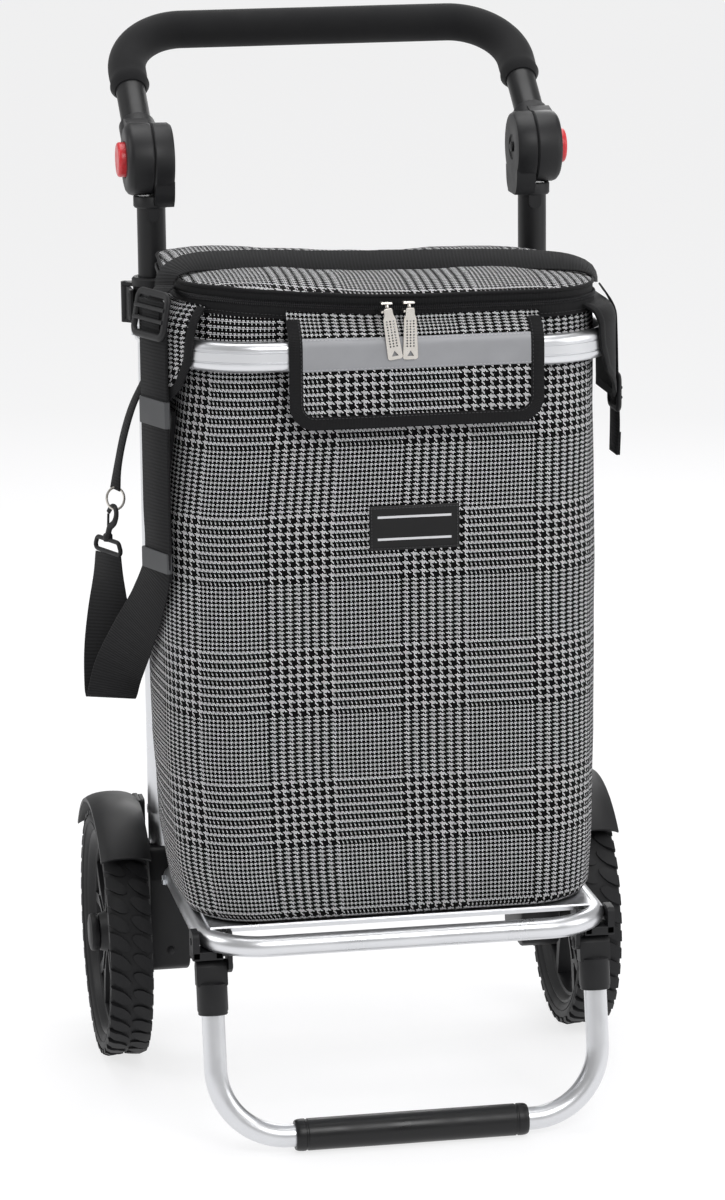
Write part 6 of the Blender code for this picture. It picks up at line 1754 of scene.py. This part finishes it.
corner = [(-LABEL_WIDE / 2 + margin, -LABEL_TALL / 2 + margin), (LABEL_WIDE / 2 - margin, -LABEL_TALL / 2 + margin),
          (LABEL_WIDE / 2 - margin, LABEL_TALL / 2 - margin), (-LABEL_WIDE / 2 + margin, LABEL_TALL / 2 - margin)]
runs = []
for k in range(4):
    (ax, az), (bx, bz) = corner[k], corner[(k + 1) % 4]
    pairs = [on_front(LABEL_X + ax + (bx - ax) * t, LABEL_Z + az + (bz - az) * t, 0.0015) for t in np.linspace(0, 1,
                                                                                                               20)]
    runs.append(([p for p, _ in pairs], [o for _, o in pairs]))
label_stitches = stitches("label_stitches", runs, thread, "bag", 0.0030)


# ---- studio -------------------------------------------------------------------------------------------
# A pale seamless floor, broad soft lamps above and at both sides, and the camera.

floor_mat = bpy.data.materials.new("pale_floor")
floor_mat.use_nodes = True
shader = floor_mat.node_tree.nodes["Principled BSDF"]
shader.inputs["Base Color"].default_value = linear("8c8c8e")
shader.inputs["Roughness"].default_value = 0.9
shader.inputs["Specular IOR Level"].default_value = 0.1
shader.inputs["Emission Color"].default_value = (1, 1, 1, 1)
shader.inputs["Emission Strength"].default_value = 0.74
bm = bmesh.new()
bmesh.ops.create_grid(bm, x_segments=1, y_segments=1, size=60)
data = bpy.data.meshes.new("studio_floor")
bm.to_mesh(data)
bm.free()
data.materials.append(floor_mat)
floor = bpy.data.objects.new("studio_floor", data)
floor.location.z = -0.0005
bpy.context.scene.collection.objects.link(floor)

world = bpy.data.worlds.new("studio")
world.use_nodes = True
world.node_tree.nodes["Background"].inputs["Color"].default_value = (1, 1, 1, 1)
world.node_tree.nodes["Background"].inputs["Strength"].default_value = 0.45
bpy.context.scene.world = world
bpy.context.scene.view_settings.view_transform = "Standard"

for name, at, size, watts in (("key", (0.5, -3.1, 2.9), 1.6, 58), ("fill", (2.6, -1.2, 1.7), 1.8, 26),
                              ("rim", (-2.6, 0.3, 1.9), 1.2, 22), ("top", (0.1, 0.5, 3.2), 2.2, 48),
                              ("back", (0.8, 2.6, 1.8), 1.6, 22)):
    lamp = bpy.data.lights.new(name, "AREA")
    lamp.size, lamp.energy = size, watts
    holder = bpy.data.objects.new(name, lamp)
    holder.location = at
    holder.rotation_euler = (Vector((0, -0.05, 0.5)) - Vector(at)).to_track_quat("-Z", "Y").to_euler()
    bpy.context.scene.collection.objects.link(holder)

azimuth, elevation, roll = math.radians(10.29884), math.radians(12.97182), math.radians(-0.60441)
look = Vector((math.sin(azimuth) * math.cos(elevation), math.cos(azimuth) * math.cos(elevation), -math.sin(elevation)))
level = Vector((math.cos(azimuth), -math.sin(azimuth), 0))
lift = level.cross(look)
level, lift = level * math.cos(roll) + lift * math.sin(roll), lift * math.cos(roll) - level * math.sin(roll)
target = Vector((0.01532, PLANE, 0.46101))
camera = bpy.data.objects.new("camera", bpy.data.cameras.new("camera"))
camera.data.lens = 133.15
camera.data.sensor_width = 36
camera.rotation_mode = "QUATERNION"
camera.rotation_quaternion = Matrix((level, lift, -look)).transposed().to_quaternion()
camera.location = target - look * 4.45264
bpy.context.scene.collection.objects.link(camera)
bpy.context.scene.camera = camera
